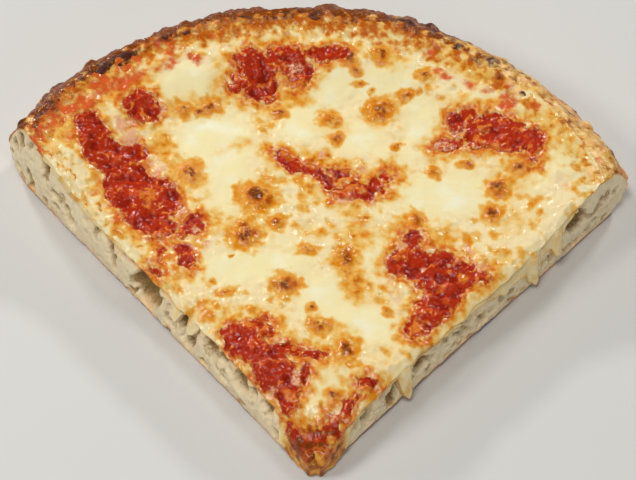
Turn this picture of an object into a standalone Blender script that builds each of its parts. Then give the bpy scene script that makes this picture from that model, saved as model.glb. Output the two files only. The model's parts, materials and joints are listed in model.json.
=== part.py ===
"""A hand-cut quarter of a thick pan pizza: bread, tomato sauce and melted mozzarella.

The slice lies flat. While it is modelled, its tip's foot is at x = y = z = 0 and its rim is
towards +Y. At the end the whole slice is moved, so that its origin is at the middle of its
foot. Sizes are in millimetres and are turned to metres as each mesh is made.
"""
import math
import random

import bmesh
import bpy
from mathutils import Matrix, Vector, noise

MM = 0.001

# Round shapes larger than this have 80 faces and smaller ones have 20
FINE_FROM = 7.2

# The round of the pizza that the slice comes from, seen from above
RIM_CENTRE = Vector((-4.2, 59.2))
RIM_RADIUS = 108.8
CUT_LEFT = math.radians(40.3)
CUT_RIGHT = math.radians(44.2)
STEPS_ROUND = 144

# The bread's section, from the middle of the pizza outwards
BREAD_HEIGHT = 14.2
FLAT_RADIUS = 62.0
LIP_RADIUS = 95.5
LIP_HEIGHT = 26.0
LIP_CURVE = 1.6
BULGE_HEIGHT = 10.0
FOOT_RADIUS = 99.5
SLOPE_RINGS = 5
BULGE_POINTS = 5
FOOT_POINTS = 3

# How far the top of the rim is drawn in, at places across the slice
RIM_DRAWN_IN = (
    (-95.0, 2.5),
    (-66.0, 3.0),
    (-56.0, 6.5),
    (-42.0, 4.4),
    (-20.0, 3.8),
    (5.0, 1.2),
    (30.0, 0.0),
    (48.0, 2.8),
    (62.0, 1.6),
    (76.0, -1.0),
)

# The rim's unevenness: the sizes of its swells and bumps, and how strong they are
RIM_LOW = 0.5
SWELL_SIZE = 34.0
SWELL_PUSH = 1.6
SWELL_LIFT = 0.9
SWELL_START = Vector((3.0, 1.0, 0.0))
BUMP_SIZE = 9.0
BUMP_PUSH = 1.5
BUMP_LIFT_SIZE = 11.0
BUMP_LIFT = 1.1

# The block between the two cuts: its bottom, its top and how far it runs from the tip
CUT_BOTTOM = -20.0
CUT_TOP = 60.0
CUT_REACH = 240.0

# Points closer than this are one point, and thinner cuts through a mesh are none
MERGE = 0.003
MERGE_METRES = 0.00001
CUT_METRES = 0.000001

# The layers on the bread
GAP = 0.35
SAUCE_THICKNESS = 1.4
SAUCE_RADIUS = 91.5
SAUCE_OVERHANG = 0.2
CHEESE_THICKNESS = 2.7
CHEESE_CELL = 6.2
CHEESE_EDGE = 89.0
CHEESE_OVERHANG = 0.6

# The cheese's unevenness: swells, folds and the wandering line where it ends at the rim
CHEESE_SWELL_SIZE = 23.0
CHEESE_SWELL = 0.9
CHEESE_FOLD_SIZE = 9.0
CHEESE_FOLD = 0.7
CHEESE_FOLD_START = Vector((5.0, 2.0, 0.0))
CHEESE_LINE_SIZE = 14.0
CHEESE_LINE = 3.0
CHEESE_LINE_START = Vector((1.0, 9.0, 0.0))
CHEESE_FADE_FROM = 9.0
CHEESE_FADE_WIDTH = 12.0
CHEESE_FADE_DROP = 2.4

# The block of cheese before it is cut: half its width, its two ends, and the room under it
BLOCK_HALF_WIDTH = 112.0
BLOCK_TIP_END = -8.0
BLOCK_RIM_END = 172.0
UNDER_REACH = 20.0
UNDER_RISE = 3.0
UNDER_DEPTH = 10.0

# Mounds and blisters: how far they are uneven, and how their own height divides
DOME_UNEVEN = 0.25
DOME_UNEVEN_SIZE = 6.0
DOME_FLOOR = 0.45
DOME_WIDTH_SHARE = 0.9
OPENING_CLEAR = 0.15
OPENING_SIDES = 10

# The slice thins towards its tip and is a little higher on its left
THIN_LINES = ((0.0, 0.50), (7.0, 0.66), (15.0, 0.86), (26.0, 1.0))
LEAN = 0.0011

# Patches of sauce that show through the cheese: x, y, length, width, turn in degrees, height
SAUCE_PATCHES = (
    (-66.0, 110.0, 24.0, 9.0, 115.0, 3.2),
    (-56.5, 93.0, 32.0, 17.0, 122.0, 3.8),
    (-48.0, 80.0, 22.0, 13.0, 140.0, 3.6),
    (-36.5, 76.5, 11.0, 8.0, 20.0, 3.4),
    (-40.0, 65.5, 9.0, 5.5, 110.0, 2.8),
    (-53.5, 123.5, 13.0, 8.5, 95.0, 3.2),
    (-13.0, 138.5, 20.0, 14.0, 25.0, 3.6),
    (-16.0, 128.0, 12.0, 10.0, 150.0, 3.4),
    (4.0, 145.0, 12.0, 4.5, 15.0, 2.8),
    (-4.0, 102.0, 19.0, 9.0, 145.0, 3.6),
    (11.0, 92.5, 22.0, 12.0, 150.0, 3.8),
    (21.0, 92.0, 9.0, 8.0, 60.0, 3.2),
    (50.0, 114.5, 18.0, 11.0, 25.0, 3.6),
    (61.0, 112.0, 18.0, 14.0, 150.0, 4.0),
    (67.5, 105.5, 9.0, 6.0, 100.0, 3.0),
    (31.0, 68.5, 15.0, 11.0, 110.0, 3.4),
    (38.5, 58.0, 22.0, 17.0, 165.0, 3.8),
    (33.0, 46.0, 20.0, 12.0, 60.0, 3.6),
    (-20.5, 38.0, 14.0, 12.0, 60.0, 4.0),
    (-13.5, 31.0, 20.0, 11.0, 160.0, 3.6),
    (-9.0, 21.5, 16.0, 10.0, 120.0, 3.2),
    (0.0, 7.0, 11.0, 5.5, 10.0, 2.2),
    (7.5, 12.0, 8.0, 4.0, 50.0, 2.2),
    (14.0, 21.0, 5.5, 3.0, 10.0, 2.4),
)

# Browned blisters in the cheese: x, y, width, height above the cheese
CHEESE_BLISTERS = (
    (-18.0, 87.0, 11.0, 2.0),
    (-21.0, 74.0, 10.0, 1.7),
    (-39.0, 97.5, 8.5, 1.6),
    (-33.0, 122.0, 7.5, 1.5),
    (-43.0, 121.0, 5.5, 1.1),
    (-9.0, 54.0, 8.0, 1.9),
    (9.5, 32.0, 7.5, 1.7),
    (20.0, 121.0, 8.0, 1.6),
    (6.5, 111.0, 5.0, 1.1),
    (62.0, 99.5, 6.5, 1.4),
    (57.0, 91.0, 7.5, 1.6),
    (54.0, 82.0, 6.0, 1.4),
    (30.0, 79.0, 5.5, 1.2),
    (9.5, 65.0, 6.5, 1.3),
    (5.5, 18.0, 4.5, 1.0),
    (1.0, 40.0, 7.0, 1.1),
    (10.5, 143.5, 6.0, 1.2),
    (-11.0, 78.0, 5.0, 1.1),
)

# How far the rim's blisters sink into it, how far they sit below their mark, and their shape
BLISTER_SUNK = 1.2
BLISTER_DROP = 0.8
BLISTER_SHAPE = (1.15, 0.9, 0.62)

# Charred blisters on the rim: turn round the rim from +Y in degrees, height up the rim, width
RIM_BLISTERS = (
    (48.0, 19.0, 6.5),
    (41.0, 23.0, 5.0),
    (31.0, 21.5, 5.5),
    (22.0, 24.0, 4.5),
    (8.0, 22.0, 5.5),
    (-4.0, 23.5, 6.0),
    (-15.0, 24.5, 4.5),
    (-24.0, 22.5, 5.0),
    (-33.0, 24.5, 5.5),
    (-38.0, 19.0, 4.5),
    (-48.0, 25.0, 5.5),
    (-57.0, 18.5, 4.5),
)

# Large bubbles that the cuts open: distance from the tip, height, width, tallness, depth
LEFT_BUBBLES = (
    (21.0, 10.5, 4.0, 8.0, 2.2),
    (33.0, 8.5, 6.0, 8.0, 2.0),
    (49.0, 11.0, 6.0, 5.5, 2.6),
    (61.0, 9.0, 5.0, 8.0, 2.6),
    (78.0, 8.0, 12.0, 12.5, 3.6),
    (95.0, 7.0, 5.0, 7.5, 2.6),
    (104.0, 12.5, 4.5, 8.0, 2.4),
    (113.0, 17.0, 5.0, 7.0, 2.4),
    (128.0, 17.0, 4.5, 8.5, 2.2),
    (136.0, 8.0, 4.5, 8.0, 2.6),
)
RIGHT_BUBBLES = (
    (22.0, 9.0, 4.5, 9.0, 1.8),
    (33.0, 7.0, 4.5, 7.5, 2.8),
    (45.0, 10.0, 6.5, 6.5, 3.0),
    (60.0, 6.5, 5.0, 4.5, 2.0),
    (115.0, 13.0, 8.5, 9.5, 3.6),
    (125.0, 14.5, 3.0, 7.0, 2.0),
    (132.0, 14.0, 4.5, 4.5, 1.8),
)
BUBBLE_TILT = 14.0
BUBBLE_OUT = 0.3
SMALL_BUBBLES = 18
SMALL_BUBBLE_WIDTH = (1.8, 3.6)
SMALL_BUBBLE_TALLNESS = (0.8, 1.5)
SMALL_BUBBLE_DEPTH = 1.1
SMALL_BUBBLE_OUT = 0.2
SMALL_BUBBLE_SEED = 11

# The room that small bubbles keep from the tip, the rim, the bottom, the top and each other
TIP_ROOM = 14.0
RIM_ROOM = 4.0
BOTTOM_ROOM = 1.2
TOP_ROOM = 1.4
BUBBLE_ROOM = 0.5

# Cheese that ran over the edges: side, distance from the tip, top height, fall, width
CHEESE_RUNS = (
    (1.0, 37.5, 17.5, 16.0, 3.6),
    (1.0, 83.0, 18.0, 8.5, 6.0),
    (1.0, 92.0, 19.5, 15.5, 16.0),
    (1.0, 58.0, 17.5, 5.0, 6.0),
    (-1.0, 27.0, 17.5, 5.0, 5.0),
    (-1.0, 69.0, 18.0, 5.5, 7.0),
    (-1.0, 88.0, 19.0, 6.0, 6.0),
)
RUN_THICKNESS = 1.5
RUN_CLEAR = 0.5
RUN_TAIL = 5.0

# The skin of cheese round the tip: its thickness, reach and heights, and the bread's room in it
TIP_SKIN = 1.7
TIP_SKIN_REACH = 15.0
TIP_SKIN_BOTTOM = 0.8
TIP_SKIN_TOP = 18.5
TIP_ROUND_MIDDLE = 18.0
TIP_ROUND_TALL = 37.0
TIP_BREAD_CLEAR = 0.55
TIP_BREAD_TOP = 16.9

COLOURS = {
    "crust": ((0.64, 0.36, 0.13), 0.72),
    "tomato_sauce": ((0.43, 0.055, 0.016), 0.34),
    "mozzarella": ((0.80, 0.62, 0.29), 0.38),
}


def make_collection(name):
    """Makes a collection in the scene and returns it."""
    collection = bpy.data.collections.new(name)
    bpy.context.scene.collection.children.link(collection)
    return collection


def add_mesh(name, bm, collection):
    """Turns a bmesh in millimetres into an object in metres, and returns it."""
    mesh = bpy.data.meshes.new(name)
    bmesh.ops.transform(bm, matrix=Matrix.Scale(MM, 4), verts=bm.verts)
    bm.to_mesh(mesh)
    bm.free()
    piece = bpy.data.objects.new(name, mesh)
    collection.objects.link(piece)
    return piece


def add_cutter(name, bm, collection):
    """Makes an object that only cuts or joins others."""
    cutter = add_mesh(name, bm, collection)
    cutter.hide_render = True
    cutter.display_type = "WIRE"
    return cutter


def apply_modifiers(piece):
    """Keeps what the modifiers of a piece give as its own mesh."""
    bpy.context.view_layer.update()
    evaluated = piece.evaluated_get(bpy.context.evaluated_depsgraph_get())
    mesh = bpy.data.meshes.new_from_object(evaluated)
    piece.modifiers.clear()
    piece.data = mesh


def boolean(piece, operation, cutter):
    """Cuts a piece with, or joins it to, an object or a whole collection."""
    modifier = piece.modifiers.new(operation.lower(), "BOOLEAN")
    modifier.operation = operation
    modifier.solver = "EXACT"
    if isinstance(cutter, bpy.types.Collection):
        modifier.operand_type = "COLLECTION"
        modifier.collection = cutter
    else:
        modifier.object = cutter
    apply_modifiers(piece)


def split_to_triangles(piece):
    """Splits the faces of a piece to triangles, so that each of them is flat."""
    bm = bmesh.new()
    bm.from_mesh(piece.data)
    bmesh.ops.triangulate(bm, faces=bm.faces)
    bm.to_mesh(piece.data)
    bm.free()


def clear_collection(collection):
    """Removes a collection of helper shapes once they have been used."""
    for piece in list(collection.objects):
        bpy.data.objects.remove(piece, do_unlink=True)
    bpy.data.collections.remove(collection)


def bread_level(radius):
    """Returns how high the bread stands under its toppings at a distance from the middle."""
    reach = max(0.0, min(1.0, (radius - FLAT_RADIUS) / (LIP_RADIUS - FLAT_RADIUS)))
    return BREAD_HEIGHT + (LIP_HEIGHT - BREAD_HEIGHT) * reach ** LIP_CURVE


def radius_at(x, y):
    """Returns the distance of a point from the middle of the pizza."""
    return (Vector((x, y)) - RIM_CENTRE).length


def slope_radii(limit):
    """Returns the radii of the rings that the bread and the layers on it share."""
    radii = [0.0, FLAT_RADIUS]
    for ring in range(1, SLOPE_RINGS + 1):
        radius = FLAT_RADIUS + (LIP_RADIUS - FLAT_RADIUS) * ring / SLOPE_RINGS
        radii.append(min(radius, limit))
    return sorted(set(radii))


def turned(name, profile, collection):
    """Turns a profile of radius and height about the middle of the pizza into a solid."""
    bm = bmesh.new()
    points = [bm.verts.new((radius, 0.0, height)) for radius, height in profile]
    for first, second in zip(points, points[1:]):
        bm.edges.new((first, second))
    piece = add_cutter(name, bm, collection)
    screw = piece.modifiers.new("turn", "SCREW")
    screw.steps = STEPS_ROUND
    screw.render_steps = STEPS_ROUND
    screw.use_merge_vertices = True
    screw.merge_threshold = MERGE_METRES
    apply_modifiers(piece)
    piece.data.transform(Matrix.Translation((RIM_CENTRE.x * MM, RIM_CENTRE.y * MM, 0.0)))
    return piece


def layer_profile(lower, upper, limit):
    """Returns the profile of a layer that lies between two heights above the bread."""
    radii = slope_radii(limit)
    top = [(radius, bread_level(radius) + upper) for radius in radii]
    bottom = [(radius, bread_level(radius) + lower) for radius in reversed(radii)]
    return top + bottom


def bread_profile():
    """Returns the bread's profile: its slope, its lip, the bulge of its rim and its foot."""
    profile = [(radius, bread_level(radius)) for radius in slope_radii(LIP_RADIUS)]
    for point in range(1, BULGE_POINTS + 1):
        turn = 0.5 * math.pi * point / BULGE_POINTS
        profile.append((LIP_RADIUS + (RIM_RADIUS - LIP_RADIUS) * math.sin(turn),
                        BULGE_HEIGHT + (LIP_HEIGHT - BULGE_HEIGHT) * math.cos(turn)))
    for point in range(1, FOOT_POINTS + 1):
        turn = 0.5 * math.pi * point / FOOT_POINTS
        profile.append((FOOT_RADIUS + (RIM_RADIUS - FOOT_RADIUS) * math.cos(turn),
                        BULGE_HEIGHT - BULGE_HEIGHT * math.sin(turn)))
    return profile + [(0.0, 0.0)]


def cut_direction(side):
    """Returns the level direction of a cut from the tip, -1 for the left and 1 for the right."""
    angle = CUT_LEFT if side < 0 else CUT_RIGHT
    return Vector((side * math.sin(angle), math.cos(angle), 0.0))


def cut_normal(side):
    """Returns the outward direction of a cut face."""
    along = cut_direction(side)
    return Vector((side * along.y, -side * along.x, 0.0))


def wedge(name, grow, collection, low=CUT_BOTTOM, high=CUT_TOP):
    """Makes the block that lies between the two cuts, larger by grow beyond each of them."""
    curve = bpy.data.curves.new(name, "CURVE")
    curve.dimensions = "2D"
    curve.fill_mode = "BOTH"
    curve.extrude = 0.5 * (high - low) * MM
    left = cut_direction(-1.0)
    right = cut_direction(1.0)
    between = math.sin(0.5 * (CUT_LEFT + CUT_RIGHT))
    tip = -(left + right).normalized() * grow / between
    corners = (tip, tip + right * CUT_REACH, tip + left * CUT_REACH)
    outline = curve.splines.new("POLY")
    outline.points.add(len(corners) - 1)
    for point, corner in zip(outline.points, corners):
        point.co = (corner.x * MM, corner.y * MM, 0.0, 1.0)
    outline.use_cyclic_u = True
    flat = bpy.data.objects.new(name, curve)
    collection.objects.link(flat)
    bpy.context.view_layer.update()
    evaluated = flat.evaluated_get(bpy.context.evaluated_depsgraph_get())
    mesh = bpy.data.meshes.new_from_object(evaluated)
    bpy.data.objects.remove(flat, do_unlink=True)
    bm = bmesh.new()
    bm.from_mesh(mesh)
    bmesh.ops.remove_doubles(bm, verts=bm.verts, dist=MERGE_METRES)
    bmesh.ops.transform(bm, matrix=Matrix.Scale(1.0 / MM, 4), verts=bm.verts)
    bmesh.ops.translate(bm, vec=(0.0, 0.0, 0.5 * (high + low)), verts=bm.verts)
    bmesh.ops.recalc_face_normals(bm, faces=bm.faces)
    return add_cutter(name, bm, collection)


def detail_for(size):
    """Returns how finely a round shape of a size is faceted."""
    return 2 if size > FINE_FROM else 1


def ellipsoid(name, place, sizes, turn, detail, collection):
    """Makes an ellipsoid of three full sizes at a place, turned by a matrix."""
    bm = bmesh.new()
    scale = Matrix.Diagonal((sizes[0] * 0.5, sizes[1] * 0.5, sizes[2] * 0.5, 1.0))
    matrix = Matrix.Translation(place) @ turn @ scale
    bmesh.ops.create_icosphere(bm, subdivisions=detail, radius=1.0, matrix=matrix)
    return add_cutter(name, bm, collection)


def dome(name, patch, rise, base, collection):
    """Makes a low dome that follows the bread: patch is x, y, length, width and turn."""
    x, y, length, width, turn = patch
    bm = bmesh.new()
    bmesh.ops.create_icosphere(bm, subdivisions=detail_for(length), radius=1.0)
    bmesh.ops.bisect_plane(bm, geom=bm.verts[:] + bm.edges[:] + bm.faces[:], dist=0.0001,
                           plane_co=(0.0, 0.0, 0.0), plane_no=(0.0, 0.0, -1.0),
                           clear_outer=True)
    bmesh.ops.holes_fill(bm, edges=[edge for edge in bm.edges if edge.is_boundary])
    turned_by = Matrix.Rotation(math.radians(turn), 4, "Z")
    for vertex in bm.verts:
        place = turned_by @ Vector((vertex.co.x * length * 0.5, vertex.co.y * width * 0.5, 0.0))
        place.x += x
        place.y += y
        spot = Vector((place.x, place.y, 0.0)) / DOME_UNEVEN_SIZE
        uneven = 1.0 + DOME_UNEVEN * noise.noise(spot)
        level = bread_level(radius_at(place.x, place.y)) + base
        place.z = level + vertex.co.z * rise * uneven
        vertex.co = place
    bmesh.ops.recalc_face_normals(bm, faces=bm.faces)
    return add_cutter(name, bm, collection)


def column(name, patch, grow, collection):
    """Makes an upright column with a patch's outline, larger by grow, to clear the cheese."""
    x, y, length, width, turn = patch
    bm = bmesh.new()
    scale = Matrix.Diagonal((length * 0.5 + grow, width * 0.5 + grow, CUT_TOP, 1.0))
    matrix = Matrix.Translation((x, y, 0.5 * CUT_TOP))
    matrix = matrix @ Matrix.Rotation(math.radians(turn), 4, "Z") @ scale
    bmesh.ops.create_cone(bm, cap_ends=True, segments=OPENING_SIDES, radius1=1.0,
                          radius2=1.0, depth=1.0, matrix=matrix)
    return add_cutter(name, bm, collection)


def between_marks(marks, place):
    """Returns the value at a place on the straight lines between marks of place and value."""
    if place <= marks[0][0]:
        return marks[0][1]
    for (near, low), (far, high) in zip(marks, marks[1:]):
        if place <= far:
            return low + (high - low) * (place - near) / (far - near)
    return marks[-1][1]


def rim_shift(x, radius):
    """Returns how far a point beyond the rim's lip is drawn in."""
    share = max(0.0, min(1.0, (radius - LIP_RADIUS) / (RIM_RADIUS - LIP_RADIUS)))
    return share * between_marks(RIM_DRAWN_IN, x)


def roughen_rim(bread):
    """Makes the rim uneven: drawn in, with long swells and short bumps beyond the toppings."""
    for vertex in bread.data.vertices:
        place = vertex.co / MM
        outward = Vector((place.x - RIM_CENTRE.x, place.y - RIM_CENTRE.y, 0.0))
        radius = outward.length
        if radius < SAUCE_RADIUS or place.z < RIM_LOW:
            continue
        share = min(1.0, (radius - SAUCE_RADIUS) / (RIM_RADIUS - SAUCE_RADIUS))
        swell = noise.noise(place / SWELL_SIZE + SWELL_START)
        bump = noise.noise(place / BUMP_SIZE)
        push = share * (SWELL_PUSH * swell + BUMP_PUSH * bump) - rim_shift(place.x, radius)
        place += outward.normalized() * push
        lift = SWELL_LIFT * swell + BUMP_LIFT * noise.noise(place / BUMP_LIFT_SIZE)
        place.z += share * lift
        vertex.co = place * MM


def face_point(side, along, height, outwards=0.0):
    """Returns a point on a cut face, at a distance from the tip and a height."""
    place = cut_direction(side) * along + cut_normal(side) * outwards
    place.z = height
    return place


def face_turn(side, tilt=0.0):
    """Returns the turn that lays a shape's x along a cut face and its y across it."""
    along = cut_direction(side)
    angle = math.atan2(along.y, along.x)
    return Matrix.Rotation(angle, 4, "Z") @ Matrix.Rotation(math.radians(tilt), 4, "Y")


def cut_length(side):
    """Returns how far a cut runs from the tip to the rim's foot."""
    along = cut_direction(side)
    centre = Vector((RIM_CENTRE.x, RIM_CENTRE.y, 0.0))
    nearest = centre.dot(along)
    offset = (centre - along * nearest).length
    return nearest + math.sqrt(FOOT_RADIUS ** 2 - offset ** 2)


def open_bubbles(bread):
    """Cuts the bubbles of the crumb that both cuts have opened."""
    cutters = make_collection("bubbles")
    draw = random.Random(SMALL_BUBBLE_SEED)
    for side, bubbles in ((-1.0, LEFT_BUBBLES), (1.0, RIGHT_BUBBLES)):
        taken = [(along, height, 0.5 * max(width, tall))
                 for along, height, width, tall, depth in bubbles]
        for along, height, width, tall, depth in bubbles:
            tilt = draw.uniform(-BUBBLE_TILT, BUBBLE_TILT)
            place = face_point(side, along, height, BUBBLE_OUT)
            ellipsoid("bubble", place, (width, 2.0 * depth, tall), face_turn(side, tilt),
                      detail_for(tall), cutters)
        placed = 0
        while placed < SMALL_BUBBLES:
            along = draw.uniform(TIP_ROOM, cut_length(side) - RIM_ROOM)
            width = draw.uniform(*SMALL_BUBBLE_WIDTH)
            tall = width * draw.uniform(*SMALL_BUBBLE_TALLNESS)
            middle = face_point(side, along, 0.0)
            ceiling = bread_level(radius_at(middle.x, middle.y)) - 0.5 * tall - TOP_ROOM
            height = draw.uniform(0.5 * tall + BOTTOM_ROOM, ceiling)
            reach = 0.5 * max(width, tall) + BUBBLE_ROOM
            if any(math.hypot(along - a, height - h) < reach + r for a, h, r in taken):
                continue
            taken.append((along, height, reach - BUBBLE_ROOM))
            place = face_point(side, along, height, SMALL_BUBBLE_OUT)
            ellipsoid("bubble", place, (width, width * SMALL_BUBBLE_DEPTH, tall),
                      face_turn(side), 1, cutters)
            placed += 1
    boolean(bread, "DIFFERENCE", cutters)
    clear_collection(cutters)


def add_rim_blisters(bread):
    """Joins the charred blisters to the rim."""
    blisters = make_collection("rim_blisters")
    for turn, height, width in RIM_BLISTERS:
        level = (height - BULGE_HEIGHT) / (LIP_HEIGHT - BULGE_HEIGHT)
        level = max(-1.0, min(1.0, level))
        radius = LIP_RADIUS + (RIM_RADIUS - LIP_RADIUS) * math.cos(math.asin(level))
        angle = math.radians(turn)
        away = radius - BLISTER_SUNK
        place = Vector((RIM_CENTRE.x - away * math.sin(angle),
                        RIM_CENTRE.y + away * math.cos(angle), height - BLISTER_DROP))
        place += Vector((math.sin(angle), -math.cos(angle), 0.0)) * rim_shift(place.x, radius)
        ellipsoid("rim_blister", place, [width * share for share in BLISTER_SHAPE],
                  Matrix.Rotation(angle, 4, "Z"), 1, blisters)
    boolean(bread, "UNION", blisters)
    clear_collection(blisters)


def cheese_top(x, y):
    """Returns the height of the cheese: pools and folds, and a thin edge towards the rim."""
    radius = radius_at(x, y)
    place = Vector((x, y, 0.0))
    swell = noise.noise(place / CHEESE_SWELL_SIZE)
    fold = noise.noise(place / CHEESE_FOLD_SIZE + CHEESE_FOLD_START)
    thickness = CHEESE_THICKNESS + CHEESE_SWELL * swell + CHEESE_FOLD * fold
    line = noise.noise(place / CHEESE_LINE_SIZE + CHEESE_LINE_START)
    fade_from = CHEESE_EDGE + CHEESE_LINE * line - CHEESE_FADE_FROM
    beyond = max(0.0, min(1.0, (radius - fade_from) / CHEESE_FADE_WIDTH))
    thickness -= (CHEESE_THICKNESS + CHEESE_FADE_DROP) * beyond * beyond
    return bread_level(radius) + 2.0 * GAP + SAUCE_THICKNESS + thickness


def height_block(name, top, collection):
    """Makes a block over the whole slice whose top follows a function of x and y."""
    length = BLOCK_RIM_END - BLOCK_TIP_END
    columns = round(2.0 * BLOCK_HALF_WIDTH / CHEESE_CELL)
    rows = round(length / CHEESE_CELL)
    bm = bmesh.new()
    middle = Matrix.Translation((0.0, BLOCK_TIP_END + 0.5 * length, 0.0))
    scale = Matrix.Diagonal((BLOCK_HALF_WIDTH, 0.5 * length, 1.0, 1.0))
    bmesh.ops.create_grid(bm, x_segments=columns, y_segments=rows, size=1.0,
                          matrix=middle @ scale)
    made = bmesh.ops.extrude_face_region(bm, geom=bm.faces[:])
    for vertex in [item for item in made["geom"] if isinstance(item, bmesh.types.BMVert)]:
        vertex.co.z = top(vertex.co.x, vertex.co.y)
    bmesh.ops.triangulate(bm, faces=bm.faces)
    bmesh.ops.recalc_face_normals(bm, faces=bm.faces)
    return add_mesh(name, bm, collection)


def keep_largest(piece):
    """Drops the loose scraps that a cut leaves beside the main body."""
    bm = bmesh.new()
    bm.from_mesh(piece.data)
    bm.verts.ensure_lookup_table()
    seen = set()
    bodies = []
    for start in bm.verts:
        if start in seen:
            continue
        body = []
        waiting = [start]
        seen.add(start)
        while waiting:
            vertex = waiting.pop()
            body.append(vertex)
            for edge in vertex.link_edges:
                other = edge.other_vert(vertex)
                if other not in seen:
                    seen.add(other)
                    waiting.append(other)
        bodies.append(body)
    bodies.sort(key=len, reverse=True)
    scraps = [vertex for body in bodies[1:] for vertex in body]
    bmesh.ops.delete(bm, geom=scraps, context="VERTS")
    bm.to_mesh(piece.data)
    bm.free()


def settle(piece):
    """Thins a piece towards the tip and leans it, as all layers of the slice do alike."""
    bm = bmesh.new()
    bm.from_mesh(piece.data)
    bmesh.ops.triangulate(bm, faces=bm.faces)
    bmesh.ops.remove_doubles(bm, verts=bm.verts, dist=MERGE * MM)
    for line, share in THIN_LINES:
        bmesh.ops.bisect_plane(bm, geom=bm.verts[:] + bm.edges[:] + bm.faces[:],
                               dist=CUT_METRES, plane_co=(0.0, line * MM, 0.0),
                               plane_no=(0.0, 1.0, 0.0))
    for vertex in bm.verts:
        x = vertex.co.x / MM
        y = vertex.co.y / MM
        vertex.co.z *= between_marks(THIN_LINES, y) * (1.0 - LEAN * x)
    bmesh.ops.triangulate(bm, faces=bm.faces)
    bmesh.ops.dissolve_degenerate(bm, edges=bm.edges, dist=MERGE * MM)
    bm.to_mesh(piece.data)
    bm.free()


def make_crust(parts):
    """Makes the bread: turned, roughened, cut to the slice and opened where bubbles show."""
    helpers = make_collection("crust_helpers")
    bread = turned("crust", bread_profile(), parts)
    bread.hide_render = False
    bread.display_type = "TEXTURED"
    roughen_rim(bread)
    split_to_triangles(bread)
    add_rim_blisters(bread)
    boolean(bread, "INTERSECT", wedge("cut", 0.0, helpers))
    open_bubbles(bread)
    keep_largest(bread)
    clear_collection(helpers)
    return bread


def make_sauce(parts):
    """Makes the tomato sauce: a layer over the bread with a mound at each patch that shows."""
    helpers = make_collection("sauce_helpers")
    mounds = make_collection("sauce_mounds")
    low = GAP
    high = GAP + SAUCE_THICKNESS
    sauce = turned("tomato_sauce", layer_profile(low, high, SAUCE_RADIUS), parts)
    sauce.hide_render = False
    sauce.display_type = "TEXTURED"
    for x, y, length, width, turn, height in SAUCE_PATCHES:
        dome("mound", (x, y, length, width, turn), height, 0.5 * (low + high), mounds)
    boolean(sauce, "UNION", mounds)
    boolean(sauce, "INTERSECT", wedge("cut", SAUCE_OVERHANG, helpers))
    keep_largest(sauce)
    clear_collection(mounds)
    clear_collection(helpers)
    return sauce


def run_of_cheese(run, collection):
    """Makes one run of cheese that hangs down a cut face just clear of the bread."""
    side, along, top, fall, width = run
    middle = top - 0.5 * fall
    clear = RUN_CLEAR + 0.5 * RUN_THICKNESS
    place = face_point(side, along, middle, clear)
    return ellipsoid("run", place, (width, RUN_THICKNESS, fall + RUN_TAIL), face_turn(side),
                     detail_for(fall), collection)


def tip_skin(collection, helpers):
    """Makes the skin of browned cheese that has run down over the tip."""
    skin = wedge("tip_skin", TIP_SKIN, collection, low=TIP_SKIN_BOTTOM, high=TIP_SKIN_TOP)
    round_end = ellipsoid("tip_round", Vector((0.0, 0.0, TIP_ROUND_MIDDLE)),
                          (2.0 * TIP_SKIN_REACH, 2.0 * TIP_SKIN_REACH, TIP_ROUND_TALL),
                          Matrix.Identity(4), 2, helpers)
    boolean(skin, "INTERSECT", round_end)
    bread_room = wedge("bread_room", TIP_BREAD_CLEAR, helpers, high=TIP_BREAD_TOP)
    boolean(skin, "DIFFERENCE", bread_room)
    return skin


def make_cheese(parts):
    """Makes the melted mozzarella over the sauce, open where the sauce shows."""
    helpers = make_collection("cheese_helpers")
    additions = make_collection("cheese_additions")
    openings = make_collection("cheese_openings")
    cheese = height_block("mozzarella", cheese_top, parts)
    cover = layer_profile(0.0, 2.0 * GAP + SAUCE_THICKNESS, LIP_RADIUS)
    outside = RIM_RADIUS + UNDER_REACH
    under = cover[:len(cover) // 2]
    under += [(outside, LIP_HEIGHT + UNDER_RISE), (outside, -UNDER_DEPTH), (0.0, -UNDER_DEPTH)]
    boolean(cheese, "INTERSECT", wedge("cut", CHEESE_OVERHANG, helpers))
    boolean(cheese, "DIFFERENCE", turned("under", under, helpers))
    keep_largest(cheese)
    middle = 2.0 * GAP + SAUCE_THICKNESS + DOME_FLOOR * CHEESE_THICKNESS
    for x, y, width, height in CHEESE_BLISTERS:
        rise = (1.0 - DOME_FLOOR) * CHEESE_THICKNESS + height
        patch = (x, y, width, width * DOME_WIDTH_SHARE, 0.0)
        dome("blister", patch, rise, middle, additions)
    for run in CHEESE_RUNS:
        run_of_cheese(run, additions)
    tip_skin(additions, helpers)
    boolean(cheese, "UNION", additions)
    for x, y, length, width, turn, height in SAUCE_PATCHES:
        column("opening", (x, y, length, width, turn), GAP + OPENING_CLEAR, openings)
    holes = openings.objects[0]
    openings.objects.unlink(holes)
    helpers.objects.link(holes)
    boolean(holes, "UNION", openings)
    boolean(cheese, "DIFFERENCE", holes)
    keep_largest(cheese)
    for collection in (additions, openings, helpers):
        clear_collection(collection)
    return cheese


def dress(piece):
    """Gives a piece its own plain finish."""
    colour, roughness = COLOURS[piece.name]
    material = bpy.data.materials.new(piece.name)
    material.use_nodes = True
    shader = material.node_tree.nodes["Principled BSDF"]
    shader.inputs["Base Color"].default_value = (*colour, 1.0)
    shader.inputs["Roughness"].default_value = roughness
    shader.inputs["Metallic"].default_value = 0.0
    piece.data.materials.clear()
    piece.data.materials.append(material)


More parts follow.
